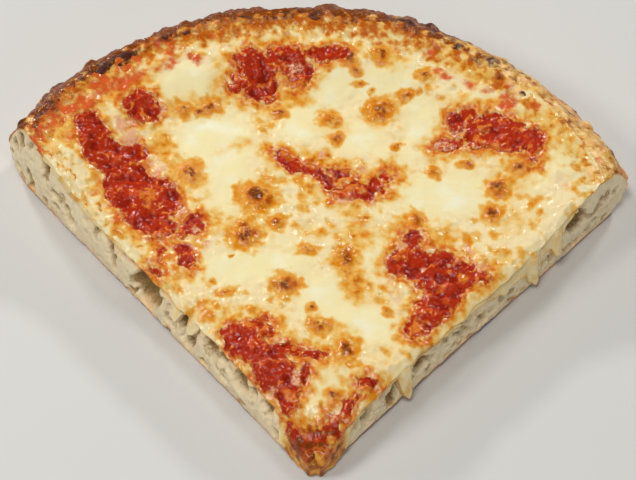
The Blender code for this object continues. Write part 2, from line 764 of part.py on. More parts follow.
def centre_on_foot(pieces):
    """Hangs the pieces on one empty that puts the origin at the middle of the slice's foot."""
    corners = [vertex.co for piece in pieces for vertex in piece.data.vertices]
    low = [min(corner[axis] for corner in corners) for axis in range(3)]
    high = [max(corner[axis] for corner in corners) for axis in range(3)]
    anchor = bpy.data.objects.new("pizza_slice", None)
    pieces[0].users_collection[0].objects.link(anchor)
    anchor.location = (-0.5 * (low[0] + high[0]), -0.5 * (low[1] + high[1]), -low[2])
    for piece in pieces:
        piece.parent = anchor


def main():
    """Builds the slice."""
    for leftover in list(bpy.data.objects):
        bpy.data.objects.remove(leftover, do_unlink=True)
    parts = make_collection("pizza_slice")
    pieces = [make_crust(parts), make_sauce(parts), make_cheese(parts)]
    for piece in pieces:
        settle(piece)
        dress(piece)
    centre_on_foot(pieces)


main()
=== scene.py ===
"""Looks of a margherita pizza slice: baked bread, tomato sauce and melted mozzarella.

The slice is described in millimetres on a frame of its own: the foot of its tip is at
x = y = z = 0, +Y runs towards the rim and +Z up. Each piece is modelled there, flat, and is
then thinned towards the tip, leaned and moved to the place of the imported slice.
"""
import json
import logging
import math
from dataclasses import dataclass, field
from enum import Enum
from functools import reduce

import bpy
import numpy as np
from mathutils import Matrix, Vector, noise

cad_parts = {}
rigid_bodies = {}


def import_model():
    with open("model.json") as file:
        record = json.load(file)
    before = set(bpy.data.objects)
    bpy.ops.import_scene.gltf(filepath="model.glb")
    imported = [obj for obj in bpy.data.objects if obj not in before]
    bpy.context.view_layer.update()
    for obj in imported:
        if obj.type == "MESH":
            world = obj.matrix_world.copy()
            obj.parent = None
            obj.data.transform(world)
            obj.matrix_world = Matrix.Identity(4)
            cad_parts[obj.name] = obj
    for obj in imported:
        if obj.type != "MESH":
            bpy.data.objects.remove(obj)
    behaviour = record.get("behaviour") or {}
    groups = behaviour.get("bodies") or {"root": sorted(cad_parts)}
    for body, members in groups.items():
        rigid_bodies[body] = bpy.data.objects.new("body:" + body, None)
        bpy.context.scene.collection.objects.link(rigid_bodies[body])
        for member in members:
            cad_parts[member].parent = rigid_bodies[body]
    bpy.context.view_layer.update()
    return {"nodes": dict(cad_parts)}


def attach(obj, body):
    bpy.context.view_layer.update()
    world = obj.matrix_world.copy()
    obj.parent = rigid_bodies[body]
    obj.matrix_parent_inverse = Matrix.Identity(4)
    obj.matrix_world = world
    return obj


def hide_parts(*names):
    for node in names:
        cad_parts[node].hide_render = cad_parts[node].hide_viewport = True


MM = 0.001
Array = np.ndarray


class Side(Enum):
    """The two cuts of the slice, seen from the tip."""

    LEFT = -1.0
    RIGHT = 1.0


def smooth(low: float, high: float, value: Array) -> Array:
    """Returns 0 below low, 1 above high, and a soft step between them."""
    share = np.clip((value - low) / (high - low), 0.0, 1.0)
    return share * share * (3.0 - 2.0 * share)


def linear(code: str) -> tuple[float, float, float, float]:
    """Turns an sRGB hex colour to the linear colour that the shaders use.

    Args:
        code: The colour as #rrggbb.

    Returns:
        Red, green, blue and an alpha of 1.
    """
    parts = [int(code[start:start + 2], 16) / 255.0 for start in (1, 3, 5)]
    turned = [((part + 0.055) / 1.055) ** 2.4 if part > 0.04045 else part / 12.92
              for part in parts]
    return (turned[0], turned[1], turned[2], 1.0)


def most(*values: Array) -> Array:
    """Returns the largest of several values at each point."""
    return reduce(np.maximum, values)


class Grain:
    """Smooth noise for arrays of points, the same on each run."""

    gain = 1.7  # brings the noise to about -1 to 1
    rounds = 3  # how many noises layers() adds

    def __init__(self, seed: int) -> None:
        """Draws the tables of the noise.

        Args:
            seed: Which noise it is.
        """
        draw = np.random.default_rng(seed)
        self.order = draw.permutation(256)
        slopes = draw.normal(size=(256, 3))
        self.slopes = slopes / np.linalg.norm(slopes, axis=1, keepdims=True)
        self.spots = draw.random((256, 2))

    def _pick(self, i: Array, j: Array, k: Array) -> Array:
        """Returns the table row of each cell."""
        return self.order[(self.order[(self.order[i & 255] + j) & 255] + k) & 255]

    def at(self, x: Array, y: Array, z: Array | float = 0.0) -> Array:
        """Looks up the noise.

        Args:
            x: Places whose unit is one cell of the noise.
            y: The same across.
            z: The same upwards; another level gives another noise.

        Returns:
            The noise at each point, from about -1 to 1.
        """
        x, y, z = np.broadcast_arrays(x, y, z)
        i, j, k = (np.floor(value).astype(int) for value in (x, y, z))
        u, v, w = x - i, y - j, z - k
        fade = [t * t * t * (t * (t * 6.0 - 15.0) + 10.0) for t in (u, v, w)]
        total = np.zeros_like(u)
        for a in (0, 1):
            for b in (0, 1):
                for c in (0, 1):
                    slope = self.slopes[self._pick(i + a, j + b, k + c)]
                    height = (slope[..., 0] * (u - a) + slope[..., 1] * (v - b)
                              + slope[..., 2] * (w - c))
                    weight = np.ones_like(u)
                    for corner, share in zip((a, b, c), fade):
                        weight = weight * (share if corner else 1.0 - share)
                    total += weight * height
        return total * self.gain

    def flat(self, x: Array, y: Array, size: float, level: float = 0.0) -> Array:
        """Returns the noise at places in millimetres, with cells of a size."""
        return self.at(x / size, y / size, level)

    def layers(self, x: Array, y: Array, z: Array) -> Array:
        """Returns the sum of a few noises, each twice as fine and half as strong."""
        total = np.zeros(x.shape)
        for layer in range(self.rounds):
            scale = 2.0 ** layer
            total = total + self.at(x * scale + 7.3 * layer, y * scale, z * scale) / scale
        return total

    def cells(self, x: Array, y: Array) -> tuple[Array, Array, Array]:
        """Looks up the uneven cells that points lie in, each round a spot of its own.

        Args:
            x: Places whose unit is one cell.
            y: The same across.

        Returns:
            A random share for each cell, how far each point is from its cell's spot, and how
            far it is inside the cell.
        """
        i, j = np.floor(x).astype(int), np.floor(y).astype(int)
        first = np.full(x.shape, 9.0)
        second = np.full(x.shape, 9.0)
        share = np.zeros(x.shape)
        for a in (-1, 0, 1):
            for b in (-1, 0, 1):
                row = self._pick(i + a, j + b, np.zeros_like(i))
                spot = self.spots[row]
                away = np.hypot(i + a + spot[..., 0] - x, j + b + spot[..., 1] - y)
                share = np.where(away < first, row / 255.0, share)
                second = np.where(away < first, first, np.minimum(second, away))
                first = np.minimum(first, away)
        return share, first, second - first


def deselect() -> None:
    """Deselects every object."""
    bpy.context.view_layer.update()
    for other in list(bpy.context.view_layer.objects):
        other.select_set(False)


def only(piece: bpy.types.Object) -> None:
    """Selects one object alone and makes it the active one."""
    deselect()
    piece.select_set(True)
    bpy.context.view_layer.objects.active = piece


def apply_modifier(piece: bpy.types.Object, kind: str, **settings: object) -> None:
    """Adds a modifier to a piece and applies it.

    Args:
        piece: The object to change.
        kind: Blender's type of the modifier.
        settings: Values of the modifier's properties.
    """
    only(piece)
    modifier = piece.modifiers.new(kind.lower(), kind)
    for name, value in settings.items():
        setattr(modifier, name, value)
    bpy.ops.object.modifier_apply(modifier=modifier.name)


def points_of(piece: bpy.types.Object) -> Array:
    """Returns the points of a mesh in millimetres."""
    flat = np.empty(len(piece.data.vertices) * 3)
    piece.data.vertices.foreach_get("co", flat)
    return flat.reshape(-1, 3) / MM


def normals_of(piece: bpy.types.Object) -> Array:
    """Returns the outward direction at each point of a mesh."""
    flat = np.empty(len(piece.data.vertices) * 3)
    piece.data.vertices.foreach_get("normal", flat)
    return flat.reshape(-1, 3)


def move_points(piece: bpy.types.Object, points: Array) -> None:
    """Gives a mesh new points, in millimetres."""
    piece.data.vertices.foreach_set("co", (points * MM).ravel())
    piece.data.update()


def select_points(piece: bpy.types.Object, chosen: Array) -> None:
    """Goes into edit mode with just some points of a piece selected.

    Args:
        piece: The object.
        chosen: Whether each point is selected.
    """
    only(piece)
    bpy.ops.object.mode_set(mode="EDIT")
    bpy.ops.mesh.select_mode(type="VERT")
    bpy.ops.mesh.select_all(action="DESELECT")
    bpy.ops.object.mode_set(mode="OBJECT")
    piece.data.vertices.foreach_set("select", chosen.astype(bool))
    bpy.ops.object.mode_set(mode="EDIT")


def leave_edit_mode() -> None:
    """Goes back to object mode."""
    bpy.ops.object.mode_set(mode="OBJECT")


def edit_all(piece: bpy.types.Object) -> None:
    """Goes into edit mode with every point of a piece selected."""
    only(piece)
    bpy.ops.object.mode_set(mode="EDIT")
    bpy.ops.mesh.select_all(action="SELECT")


def face_out(piece: bpy.types.Object) -> None:
    """Turns the faces of a closed mesh outwards."""
    edit_all(piece)
    bpy.ops.mesh.normals_make_consistent(inside=False)
    leave_edit_mode()


def bisect_off(piece: bpy.types.Object, point: Array, direction: Array, fill: bool) -> None:
    """Cuts off what lies beyond a plane.

    Args:
        piece: The object to cut.
        point: A point of the plane, in millimetres.
        direction: The side that is cut off.
        fill: Whether the cut is closed with a face.
    """
    edit_all(piece)
    bpy.ops.mesh.bisect(plane_co=tuple(point * MM), plane_no=tuple(direction),
                        use_fill=fill, clear_outer=True, threshold=0.000001)
    leave_edit_mode()


def thin_hidden(piece: bpy.types.Object, hidden: Array, ratio: float) -> None:
    """Makes the hidden points of a piece sparse.

    Args:
        piece: The object.
        hidden: Whether each point is hidden.
        ratio: The share of their faces that is left.
    """
    select_points(piece, hidden)
    bpy.ops.mesh.decimate(ratio=ratio)
    leave_edit_mode()


def paint(piece: bpy.types.Object, name: str, values: Array) -> None:
    """Stores a value for each point of a mesh, which its finish reads."""
    attribute = piece.data.attributes.new(name, "FLOAT", "POINT")
    attribute.data.foreach_set("value", np.clip(values, 0.0, 1.0).astype(np.float32))


@dataclass(frozen=True)
class SliceForm:
    """The slice's own sizes, in millimetres, as the solids have them."""

    rim_centre: tuple[float, float] = (-4.2, 59.2)
    rim_radius: float = 108.8
    cut_left: float = math.radians(40.3)
    cut_right: float = math.radians(44.2)
    bread_height: float = 14.2
    flat_radius: float = 62.0
    lip_radius: float = 95.5
    lip_height: float = 26.0
    lip_curve: float = 1.6
    bulge_height: float = 10.0
    foot_radius: float = 99.5
    gap: float = 0.35
    sauce_thickness: float = 1.4
    cheese_thickness: float = 2.7
    topping_radius: float = 91.5
    thin_at: tuple[float, ...] = (0.0, 7.0, 15.0, 26.0)
    thin_share: tuple[float, ...] = (0.50, 0.66, 0.86, 1.0)
    lean: float = 0.0011
    blunt: float = 7.0
    drawn_at: tuple[float, ...] = (-95, -66, -56, -42, -20, 5, 30, 48, 62, 76)
    drawn_in: tuple[float, ...] = (2.5, 3.0, 6.5, 4.4, 3.8, 1.2, 0.0, 2.8, 1.6, -1.0)

    def radius(self, x: Array, y: Array) -> Array:
        """Returns the distance from the middle of the pizza."""
        return np.hypot(x - self.rim_centre[0], y - self.rim_centre[1])

    def bread_level(self, radius: Array) -> Array:
        """Returns how high the bread stands under its toppings."""
        reach = np.clip((radius - self.flat_radius) / (self.lip_radius - self.flat_radius), 0, 1)
        return self.bread_height + (self.lip_height - self.bread_height) * reach ** self.lip_curve

    def draw_in(self, x: Array, y: Array) -> tuple[Array, Array]:
        """Draws the rim in where the photographed one lies further in.

        Args:
            x: Places across.
            y: Places from tip to rim.

        Returns:
            Where the points come to lie; those inside the rim's lip stay.
        """
        radius = self.radius(x, y)
        beyond = np.clip(radius - self.lip_radius, 0.0, None) / (self.rim_radius - self.lip_radius)
        share = 1.0 - beyond * np.interp(x, self.drawn_at, self.drawn_in) / radius
        return (self.rim_centre[0] + (x - self.rim_centre[0]) * share,
                self.rim_centre[1] + (y - self.rim_centre[1]) * share)

    def along(self, side: Side) -> Array:
        """Returns the level direction of a cut, from the tip."""
        angle = self.cut_left if side is Side.LEFT else self.cut_right
        return np.array((side.value * math.sin(angle), math.cos(angle), 0.0))

    def outward(self, side: Side) -> Array:
        """Returns the direction that a cut face looks in."""
        along = self.along(side)
        return np.array((side.value * along[1], -side.value * along[0], 0.0))

    def inside(self, side: Side, x: Array, y: Array) -> Array:
        """Returns how far points lie inside a cut."""
        out = self.outward(side)
        return -(out[0] * x + out[1] * y)

    def depth(self, x: Array, y: Array) -> Array:
        """Returns how far points lie inside both cuts."""
        return np.minimum(self.inside(Side.LEFT, x, y), self.inside(Side.RIGHT, x, y))

    def lean_out(self, side: Side, up: Array) -> Array:
        """Returns how far a cut face stands out at a share of its height: it leans back."""
        return 1.2 - 2.6 * up ** 3 if side is Side.LEFT else 0.2 - 0.8 * up ** 4

    def skin_depth(self, radius: Array, z: Array) -> Array:
        """Measures how deep points of the bread lie under its baked outside.

        Args:
            radius: Distances from the middle of the pizza.
            z: Heights over the foot.

        Returns:
            The depth in millimetres, negative outside.
        """
        over = self.bread_level(radius) - z
        reach = np.where(z > self.bulge_height,
                         self.rim_radius - self.lip_radius, self.rim_radius - self.foot_radius)
        start = self.rim_radius - reach
        tall = np.where(z > self.bulge_height,
                        self.lip_height - self.bulge_height, self.bulge_height)
        round_end = np.hypot(np.maximum(radius - start, 0.0) / reach,
                             (z - self.bulge_height) / tall)
        end = (1.0 - round_end) * reach
        depth = np.minimum(over, z)
        return np.where(radius > start, np.minimum(end, np.maximum(depth, end)), depth)

    def settle(self, points: Array) -> Array:
        """Thins the points towards the tip and leans them, as all layers of the slice are.

        Args:
            points: The flat slice's points.

        Returns:
            The same points in the settled slice.
        """
        share = np.interp(points[:, 1], self.thin_at, self.thin_share)
        settled = points.copy()
        settled[:, 2] *= share * (1.0 - self.lean * points[:, 0])
        near = np.clip((self.blunt - points[:, 1]) / self.blunt, 0.0, 1.2)
        middle = np.clip(1.0 - np.abs(points[:, 0]) / (0.9 * np.maximum(points[:, 1], 0.0) + 2.0),
                         0.0, 1.0)
        settled[:, 1] += 2.4 * near ** 1.5 * middle ** 1.5
        return settled

    def topping(self, radius: Array) -> Array:
        """Returns how much of the toppings' thickness is left on the way to the rim."""
        return 1.0 - 1.12 * smooth(79.0, 98.0, radius)

    def top_height(self, x: float, y: float) -> float:
        """Finds the rough height of what shows on top of the settled slice.

        Args:
            x: Place across.
            y: Place from tip to rim.

        Returns:
            The height in millimetres.
        """
        radius = self.radius(np.array(x), np.array(y))
        over = self.gap + self.sauce_thickness + self.cheese_thickness
        level = float(self.bread_level(radius) + over * np.maximum(self.topping(radius), 0.0))
        width = self.rim_radius - self.lip_radius - float(np.interp(x, self.drawn_at,
                                                                    self.drawn_in))
        round_end = min(1.0, max(0.0, (float(radius) - self.lip_radius) / width))
        level -= (self.lip_height - self.bulge_height) * (1.0 - math.sqrt(1.0 - round_end ** 2))
        share = float(np.interp(y, self.thin_at, self.thin_share))
        return level * share * (1.0 - self.lean * x)


@dataclass(frozen=True)
class View:
    """The photograph's viewing angle, in the slice's own millimetres."""

    elevation: float = math.radians(54.0)
    distance: float = 800.0
    aim: tuple[float, float] = (0.87, 84.97)
    lens: float = 145.75
    sensor: float = 36.0
    reading_height: float = 20.0

    def eye(self) -> Array:
        """Returns the camera's place."""
        return np.array((self.aim[0], self.aim[1] - self.distance * math.cos(self.elevation),
                         self.distance * math.sin(self.elevation)))

    def on_slice(self, form: SliceForm, x: float, y: float) -> tuple[float, float]:
        """Finds the point of the slice's top that is seen at a point of the reading plane.

        Args:
            form: The slice's sizes.
            x: Place across, on the level plane at the reading height.
            y: Place from tip to rim, on the same plane.

        Returns:
            The x and y of the slice's top there.
        """
        eye = self.eye()
        seen = np.array((x, y, self.reading_height))
        place = seen
        for _ in range(6):
            height = form.top_height(place[0], place[1])
            place = eye + (seen - eye) * (eye[2] - height) / (eye[2] - self.reading_height)
        return float(place[0]), float(place[1])


@dataclass(frozen=True)
class Spot:
    """An oval of the toppings as the view shows it, on the plane at the reading height."""

    x: float
    y: float
    length: float
    width: float
    turn: float
    weight: float


def as_spots(*rows: tuple[float, ...]) -> tuple[Spot, ...]:
    """Returns spots from rows of x, y, length, width, turn and weight."""
    return tuple(Spot(*row) for row in rows)


# where sauce shows through the cheese
SAUCE_PATCHES = as_spots(
    (-68.5, 109.5, 21, 8.5, 115, 1), (-60, 97, 22, 11, 118, 1), (-55, 88, 25, 15, 118, 1.1),
    (-57, 104.5, 9, 5, 0, 0.9), (-46.5, 87, 13, 9, 130, 1), (-52.5, 79, 14, 9, 160, 1.1),
    (-46, 76, 9, 7, 100, 1), (-37, 75, 9, 6.5, 30, 1), (-39.5, 64.5, 7, 4.5, 110, 0.9),
    (-45.5, 64.5, 4.5, 3, 80, 0.8), (-48.5, 59.5, 4.5, 2.6, 140, 0.7),
    (-54.5, 124, 9.5, 7, 150, 0.9), (-55.5, 119.5, 5, 4, 90, 0.8), (-18.5, 137.5, 10, 13, 20, 1.1),
    (-8.5, 140.5, 13, 10, 160, 1), (-16.5, 128, 10, 8.5, 10, 1.2), (-24, 131.5, 6.5, 4.5, 30, 0.8),
    (-4, 135.5, 8, 5, 60, 0.8), (3.5, 144.5, 11, 4.8, 12, 0.9), (-6.5, 99.5, 14, 5, 145, 0.8),
    (0.5, 95, 11, 5, 140, 0.7), (12.5, 88, 15, 6.5, 175, 1.1), (19, 90, 7, 6, 60, 1),
    (7.5, 95.5, 7, 4, 160, 0.7), (23, 95, 5, 4.5, 60, 0.6), (45.5, 116.5, 8, 6, 30, 0.9),
    (51, 112, 12, 10, 30, 1.1), (57.5, 113, 16, 12, 150, 1.1), (60.5, 108, 13, 6.5, 165, 1.2),
    (66.5, 108, 7, 9.5, 20, 1.1), (68, 102.5, 4.5, 5, 0, 0.9), (40.5, 107.5, 6.5, 5, 40, 0.7),
    (28.5, 70, 8, 7, 100, 1), (27.5, 62.5, 10, 8.5, 60, 1.1), (34, 58.5, 16, 12, 120, 1.2),
    (38, 50, 15, 11, 50, 1.1), (44.5, 56.5, 12, 9.5, 30, 1.1), (34, 45, 12, 9, 60, 1.1),
    (31, 39.5, 10, 7.5, 70, 1.2), (50, 56.5, 5, 6, 0, 0.9), (38.5, 63.5, 9, 6, 150, 0.9),
    (-24, 36, 11, 7, 80, 1.1), (-18.5, 38.5, 12, 7.5, 10, 1.1), (-17, 31, 17, 10, 160, 1.1),
    (-12, 26.5, 14, 9, 150, 1), (-8, 32, 9, 5, 170, 0.9), (-14.5, 21.5, 9, 8, 120, 0.9),
    (-8, 19.5, 10, 7.5, 100, 1), (-9, 13.5, 7, 5.5, 110, 0.9), (-0.5, 29, 6, 3.6, 170, 0.8),
    (-3, 22.5, 3.5, 5, 0, 0.7), (-1, -0.5, 12, 5, 5, 0.9), (-6, 1.5, 7, 3.5, 150, 0.8),
    (5.5, 5, 8, 4.5, 60, 0.8), (10, 10.5, 7, 3.5, 40, 0.7), (8, 2, 5, 3, 120, 0.7),
    (-8.5, 5, 3, 2.4, 120, 0.6), (15, 19, 5.5, 3.2, 0, 0.8),
)

# smooth wet pools of cream
POOLS = as_spots(
    (-40, 131, 18, 15, 30, 1), (-32, 106, 30, 25, 70, 1), (-27, 94, 22, 14, 100, 0.9),
    (-28, 82, 12, 12, 0, 0.7), (6, 133, 20, 18, 70, 1), (22, 133, 22, 13, 10, 0.9),
    (-3, 116, 14, 18, 0, 0.9), (13, 110, 22, 13, 150, 0.9), (34, 114, 22, 12, 105, 1),
    (30, 102, 16, 8, 60, 0.8), (40, 87, 34, 19, 10, 1), (68, 95, 14, 12, 0, 0.7),
    (-19, 61, 36, 13, 8, 1), (-8, 69, 18, 8, 150, 0.5), (3, 49, 22, 14, 150, 1),
    (16, 39, 26, 12, 155, 1), (18, 66, 7, 15, 10, 0.8), (4, 20, 16, 12, 120, 1),
    (-22, 150, 20, 5.5, 12, 0.7), (22, 150, 20, 7, 170, 0.8), (50, 123, 18, 7, 0, 0.8),
    (74, 101, 8, 14, 20, 0.8), (-58, 110.5, 9, 7, 40, 0.7), (-63, 124, 10, 5, 30, 0.6),
)

# browned blisters of the cheese
BLISTERS = as_spots(
    (-18, 86.5, 10.5, 9.5, 0, 1), (-21, 73, 9.5, 9, 0, 0.75), (-11.5, 77, 4.6, 5.6, 0, 0.6),
    (-39, 96, 8, 8.5, 0, 0.65), (-32.5, 121.5, 7, 6, 40, 0.75), (-36.5, 119.5, 4, 3.2, 0, 0.7),
    (-42, 121, 5.5, 5, 0, 0.5), (-9, 53.5, 7.6, 7.6, 0, 1.05), (9, 31, 7, 6.5, 0, 0.85),
    (20.5, 120.5, 8.5, 8, 90, 0.6), (28, 126, 5, 4.5, 0, 0.6), (6.5, 109.5, 5, 5, 0, 0.5),
    (4.5, 117.5, 6.5, 6, 0, 0.4), (26, 106, 4, 3, 20, 0.5), (62.5, 98, 6, 5.6, 0, 0.75),
    (56.5, 90, 7.5, 7, 0, 0.7), (54, 80.5, 6.6, 6, 0, 0.65), (46.5, 98.5, 4, 3, 0, 0.55),
    (36.5, 96, 5, 4, 0, 0.35), (30, 78, 6, 5.5, 0, 0.55), (5.5, 14.5, 4.5, 4, 0, 0.65),
    (0, 45.5, 3, 2.6, 0, 0.5), (2, 40, 7.5, 5, 0, 0.5), (10.5, 142.5, 5.5, 6, 0, 0.85),
    (21.5, 143.5, 6, 5, 140, 0.55), (12.5, 137.5, 4, 4, 0, 0.55), (14.5, 131.5, 3.4, 2.2, 10, 0.4),
    (17.8, 128.2, 1.8, 1.6, 0, 0.6), (33, 127.5, 2.4, 2.2, 0, 0.6), (-11, 119.5, 5, 3.6, 0, 0.6),
    (-26.5, 51, 6, 2.6, 25, 0.6), (-31, 55, 2.4, 2, 0, 0.5), (-33, 47.5, 2.8, 2.2, 0, 0.45),
    (9.5, 64, 8, 7, 0, 0.6), (-3, 67, 5, 4, 0, 0.45), (21, 43.5, 3, 3, 0, 0.4),
    (-4.5, 13, 2.6, 2.4, 0, 0.5), (34, 135, 5, 4, 0, 0.55), (-25, 65.2, 1.4, 1.2, 0, 1),
    (-1.5, 5, 3.4, 3, 0, 0.6), (10, 5, 2.4, 3, 0, 0.6),
)

# oily golden stains
AMBER_STAINS = as_spots(
    (-47, 106, 8, 16, 20, 0.7), (-43, 98, 9, 9, 0, 0.6), (-38, 92, 9, 6, 0, 0.6),
    (-24, 106, 14, 8, 20, 0.35), (-16, 112, 10, 6, 0, 0.3), (-29, 136, 7, 14, 0, 0.45),
    (-6, 127, 10, 11, 0, 0.75), (-11, 121, 8, 5, 0, 0.5), (-37, 123, 14, 7, 150, 0.4),
    (13, 72, 14, 16, 0, 0.6), (11, 56, 11, 20, 20, 0.75), (19, 49, 6, 10, 20, 0.5),
    (38, 72.5, 13, 7, 0, 0.6), (45, 66, 9, 5, 0, 0.6), (48, 72, 6, 4, 0, 0.4),
    (24, 99, 8, 9, 0, 0.8), (5, 100, 22, 8, 160, 0.8), (15, 93, 20, 8, 160, 0.8),
    (-12, 101, 10, 12, 0, 0.6), (2, 88, 12, 8, 0, 0.5), (12, 80, 14, 7, 150, 0.55),
    (0, 74, 18, 9, 0, 0.3), (3, 62, 8, 5, 0, 0.4), (5, 37, 16, 8, 0, 0.5),
    (-34, 80, 8, 4.5, 10, 0.8), (-27, 76, 10, 10, 0, 0.35), (-36, 48, 14, 12, 0, 0.2),
    (60, 94, 16, 20, 0, 0.35), (62, 78, 20, 10, 40, 0.35), (20, 116, 8, 10, 0, 0.35),
    (6, 114, 16, 12, 0, 0.25), (26, 141, 10, 6, 0, 0.4), (20, 28, 14, 12, 0, 0.2),
    (-70, 82, 12, 8, 140, 0.3), (-30, 152, 34, 7, 22, 0.5), (14, 156, 60, 6, 178, 0.6),
    (48, 138, 34, 9, 142, 0.7), (76, 112, 30, 12, 125, 0.6), (-80, 112, 20, 12, 45, 0.6),
    (-60, 130, 34, 9, 40, 0.7),
)

# thin films of sauce on the cheese and the rim
RED_SMEARS = as_spots(
    (-83, 116, 13, 8, 45, 0.75), (-74, 122.5, 16, 8, 40, 0.95), (-61, 132.5, 20, 7, 30, 0.9),
    (-47, 138, 10, 5, 40, 0.7), (-38.5, 142, 5.5, 4.5, 20, 0.9), (-76, 110, 7, 4, 20, 0.7),
    (-29, 148, 3, 5, 60, 0.6), (-34, 152, 4, 4, 0, 0.7), (36.5, 143.5, 6, 5, 0, 0.9),
    (27, 144.5, 6, 4, 0, 0.4), (40.5, 135, 8, 3.6, 150, 0.85), (49, 130.5, 7, 3.4, 160, 0.8),
    (55, 128.5, 4, 4.5, 90, 0.6), (60, 124.5, 6.5, 6.5, 0, 1), (61, 130.5, 6, 3, 20, 0.8),
    (67.5, 121.5, 5, 3.5, 160, 0.8), (73, 124, 5.5, 3.4, 120, 0.8),
    (78.5, 115.5, 6, 2.6, 120, 0.9), (45, 141, 3.4, 3.4, 0, 0.6), (46, 104, 12, 5, 170, 0.45),
    (38, 102, 10, 7, 50, 0.3), (76, 92, 4, 10, 10, 0.35), (77.5, 97, 2.6, 2.6, 0, 0.5),
    (83, 95, 5, 4, 0, 0.35), (88, 101, 5, 4, 0, 0.5), (-27, 48, 18, 4, 12, 0.25),
    (-32, 38, 5, 10, 150, 0.2), (-43, 60, 12, 8, 140, 0.4), (-33, 67, 8, 5, 30, 0.45),
    (24, 52, 5, 18, 5, 0.4), (44, 68, 14, 6, 165, 0.3), (-12, 36, 10, 4, 0, 0.4),
    (8, 9, 18, 9, 40, 0.35), (14, 76, 12, 8, 150, 0.35), (-60, 116, 12, 9, 40, 0.4),
    (-50, 98, 8, 12, 20, 0.4), (-40, 81, 12, 7, 150, 0.5), (-84, 86, 3, 3, 0, 0.5),
)

# charred spots of the rim
RIM_CHAR = as_spots(
    (-64, 140.5, 28, 6, 32, 1), (-75, 131, 10, 5, 45, 0.9), (-86, 121, 12, 3.5, 55, 0.7),
    (-44, 151.5, 16, 3, 20, 0.7), (-14, 160.5, 24, 4.5, 10, 0.95), (-2, 160, 9, 6, 0, 0.9),
    (11, 158, 6, 4, 0, 0.6), (29, 157.5, 12, 4, 160, 0.9), (37, 154.5, 8, 4, 140, 0.8),
    (44.5, 145.5, 4.5, 4, 0, 0.8), (51, 140.5, 4.6, 4.2, 0, 0.9), (45, 150, 14, 3.5, 142, 0.8),
    (56, 140, 8, 5, 140, 0.7), (66, 127, 4.6, 4.2, 0, 1), (-53.5, 143.5, 3, 3, 0, 0.8),
    (-34.5, 152.5, 5, 3, 0, 0.8), (-46, 146, 2.4, 3, 0, 0.8), (-82, 122, 4, 3.4, 30, 0.7),
    (-71.5, 127.5, 3.4, 3, 0, 0.7), (-75.5, 111, 4, 7, 15, 0.9), (-20.5, 144, 2, 1.4, 30, 0.6),
    (79, 120.5, 4, 2.6, 130, 0.6), (92, 100, 8, 3, 115, 0.4),
)

# oily orange lumps of the sauce
ORANGE_LUMPS = as_spots(
    (-20, 41.5, 10, 5, 10, 0.9), (-15, 40, 4, 6, 0, 0.8), (-51, 86, 10, 6, 110, 0.9),
    (-36, 81, 10, 4.5, 20, 0.9), (-39, 76.5, 5, 4, 0, 0.8), (-42, 86, 5, 5, 0, 0.7),
    (31, 38.5, 8, 8, 0, 0.95), (44.5, 56, 9, 6, 30, 0.95), (45, 62.5, 5, 3, 0, 0.8),
    (36, 53, 5, 5, 0, 0.7), (38, 47, 5, 5, 0, 0.7), (26, 64, 3.4, 6, 10, 0.8),
    (-6, 129, 8, 12, 0, 0.9), (-26, 138.5, 6, 6, 0, 0.9), (-11, 138, 8, 5, 150, 0.6),
    (-17, 131.5, 6, 3.4, 0, 0.8), (-7.5, 17, 6, 4.5, 0, 0.95), (-5, 12.5, 3, 2.4, 0, 0.9),
    (-4, 20.5, 3, 3, 0, 0.8), (-10, 27, 7, 4, 20, 0.6), (52.5, 112.5, 6, 4.5, 0, 0.85),
    (49, 109, 5, 3, 0, 0.9), (58, 105.5, 9, 3, 160, 0.9), (12, 89, 12, 5, 0, 0.9),
    (1, 97.5, 14, 6, 140, 0.9), (-9, 103, 8, 6, 0, 0.7), (-54.5, 122.5, 3, 3, 0, 0.7),
    (-1, 4.5, 3.6, 3, 0, 1), (10, 4.5, 3, 4, 0, 0.9), (-8.5, 0, 4, 4, 0, 0.9),
    (0, -3, 16, 3, 0, 0.9),
)

# pale glaze where cheese and sauce have mixed
PINK_GLAZES = as_spots(
    (-60.5, 116, 10, 6, 40, 0.95), (-57.5, 110, 9, 8, 60, 1), (-49, 122, 5, 6, 40, 0.7),
    (-49, 98, 7, 11, 20, 0.85), (-45, 90, 6, 5, 0, 0.7), (-41, 81.5, 6, 5, 0, 0.8),
    (-36.5, 74, 4, 5, 30, 0.8), (-37, 66, 2.5, 5, 30, 0.9), (-7, 138.5, 7, 6, 0, 0.75),
    (-2, 140, 4, 4, 0, 0.6), (39.5, 106.5, 7, 5, 20, 0.8), (44, 112.5, 5, 4, 0, 0.6),
    (56, 117.5, 6, 2.4, 150, 0.5), (25, 67, 3, 6, 20, 0.9), (31, 60, 4, 5, 0, 0.5),
    (40, 60.5, 5, 2.4, 140, 0.6), (46, 66, 7, 3, 160, 0.9), (50, 61, 2.6, 6, 20, 0.8),
    (-24, 37, 5, 6, 60, 0.35), (-10, 35, 8, 3, 20, 0.6), (-5, 21.5, 3, 5, 20, 0.9),
    (-13, 16.5, 5, 7, 130, 0.6), (2.5, 102.5, 3.4, 3, 0, 1), (14, 96.5, 6, 4, 30, 0.7),
    (9.5, 84.5, 8, 2.4, 170, 0.9), (17.5, 83.5, 2.4, 5, 0, 0.9), (6, 8, 5, 4, 30, 0.7),
)


@dataclass
class Survey:
    """What the layout says at many points of the slice's top."""

    x: Array
    y: Array
    radius: Array
    left: Array
    right: Array
    warped: tuple[Array, Array]
    near: tuple[Array, Array]
    reach: Array
    pool: Array

    @property
    def depth(self) -> Array:
        """Returns how far the points lie inside both cuts."""
        return np.minimum(self.left, self.right)


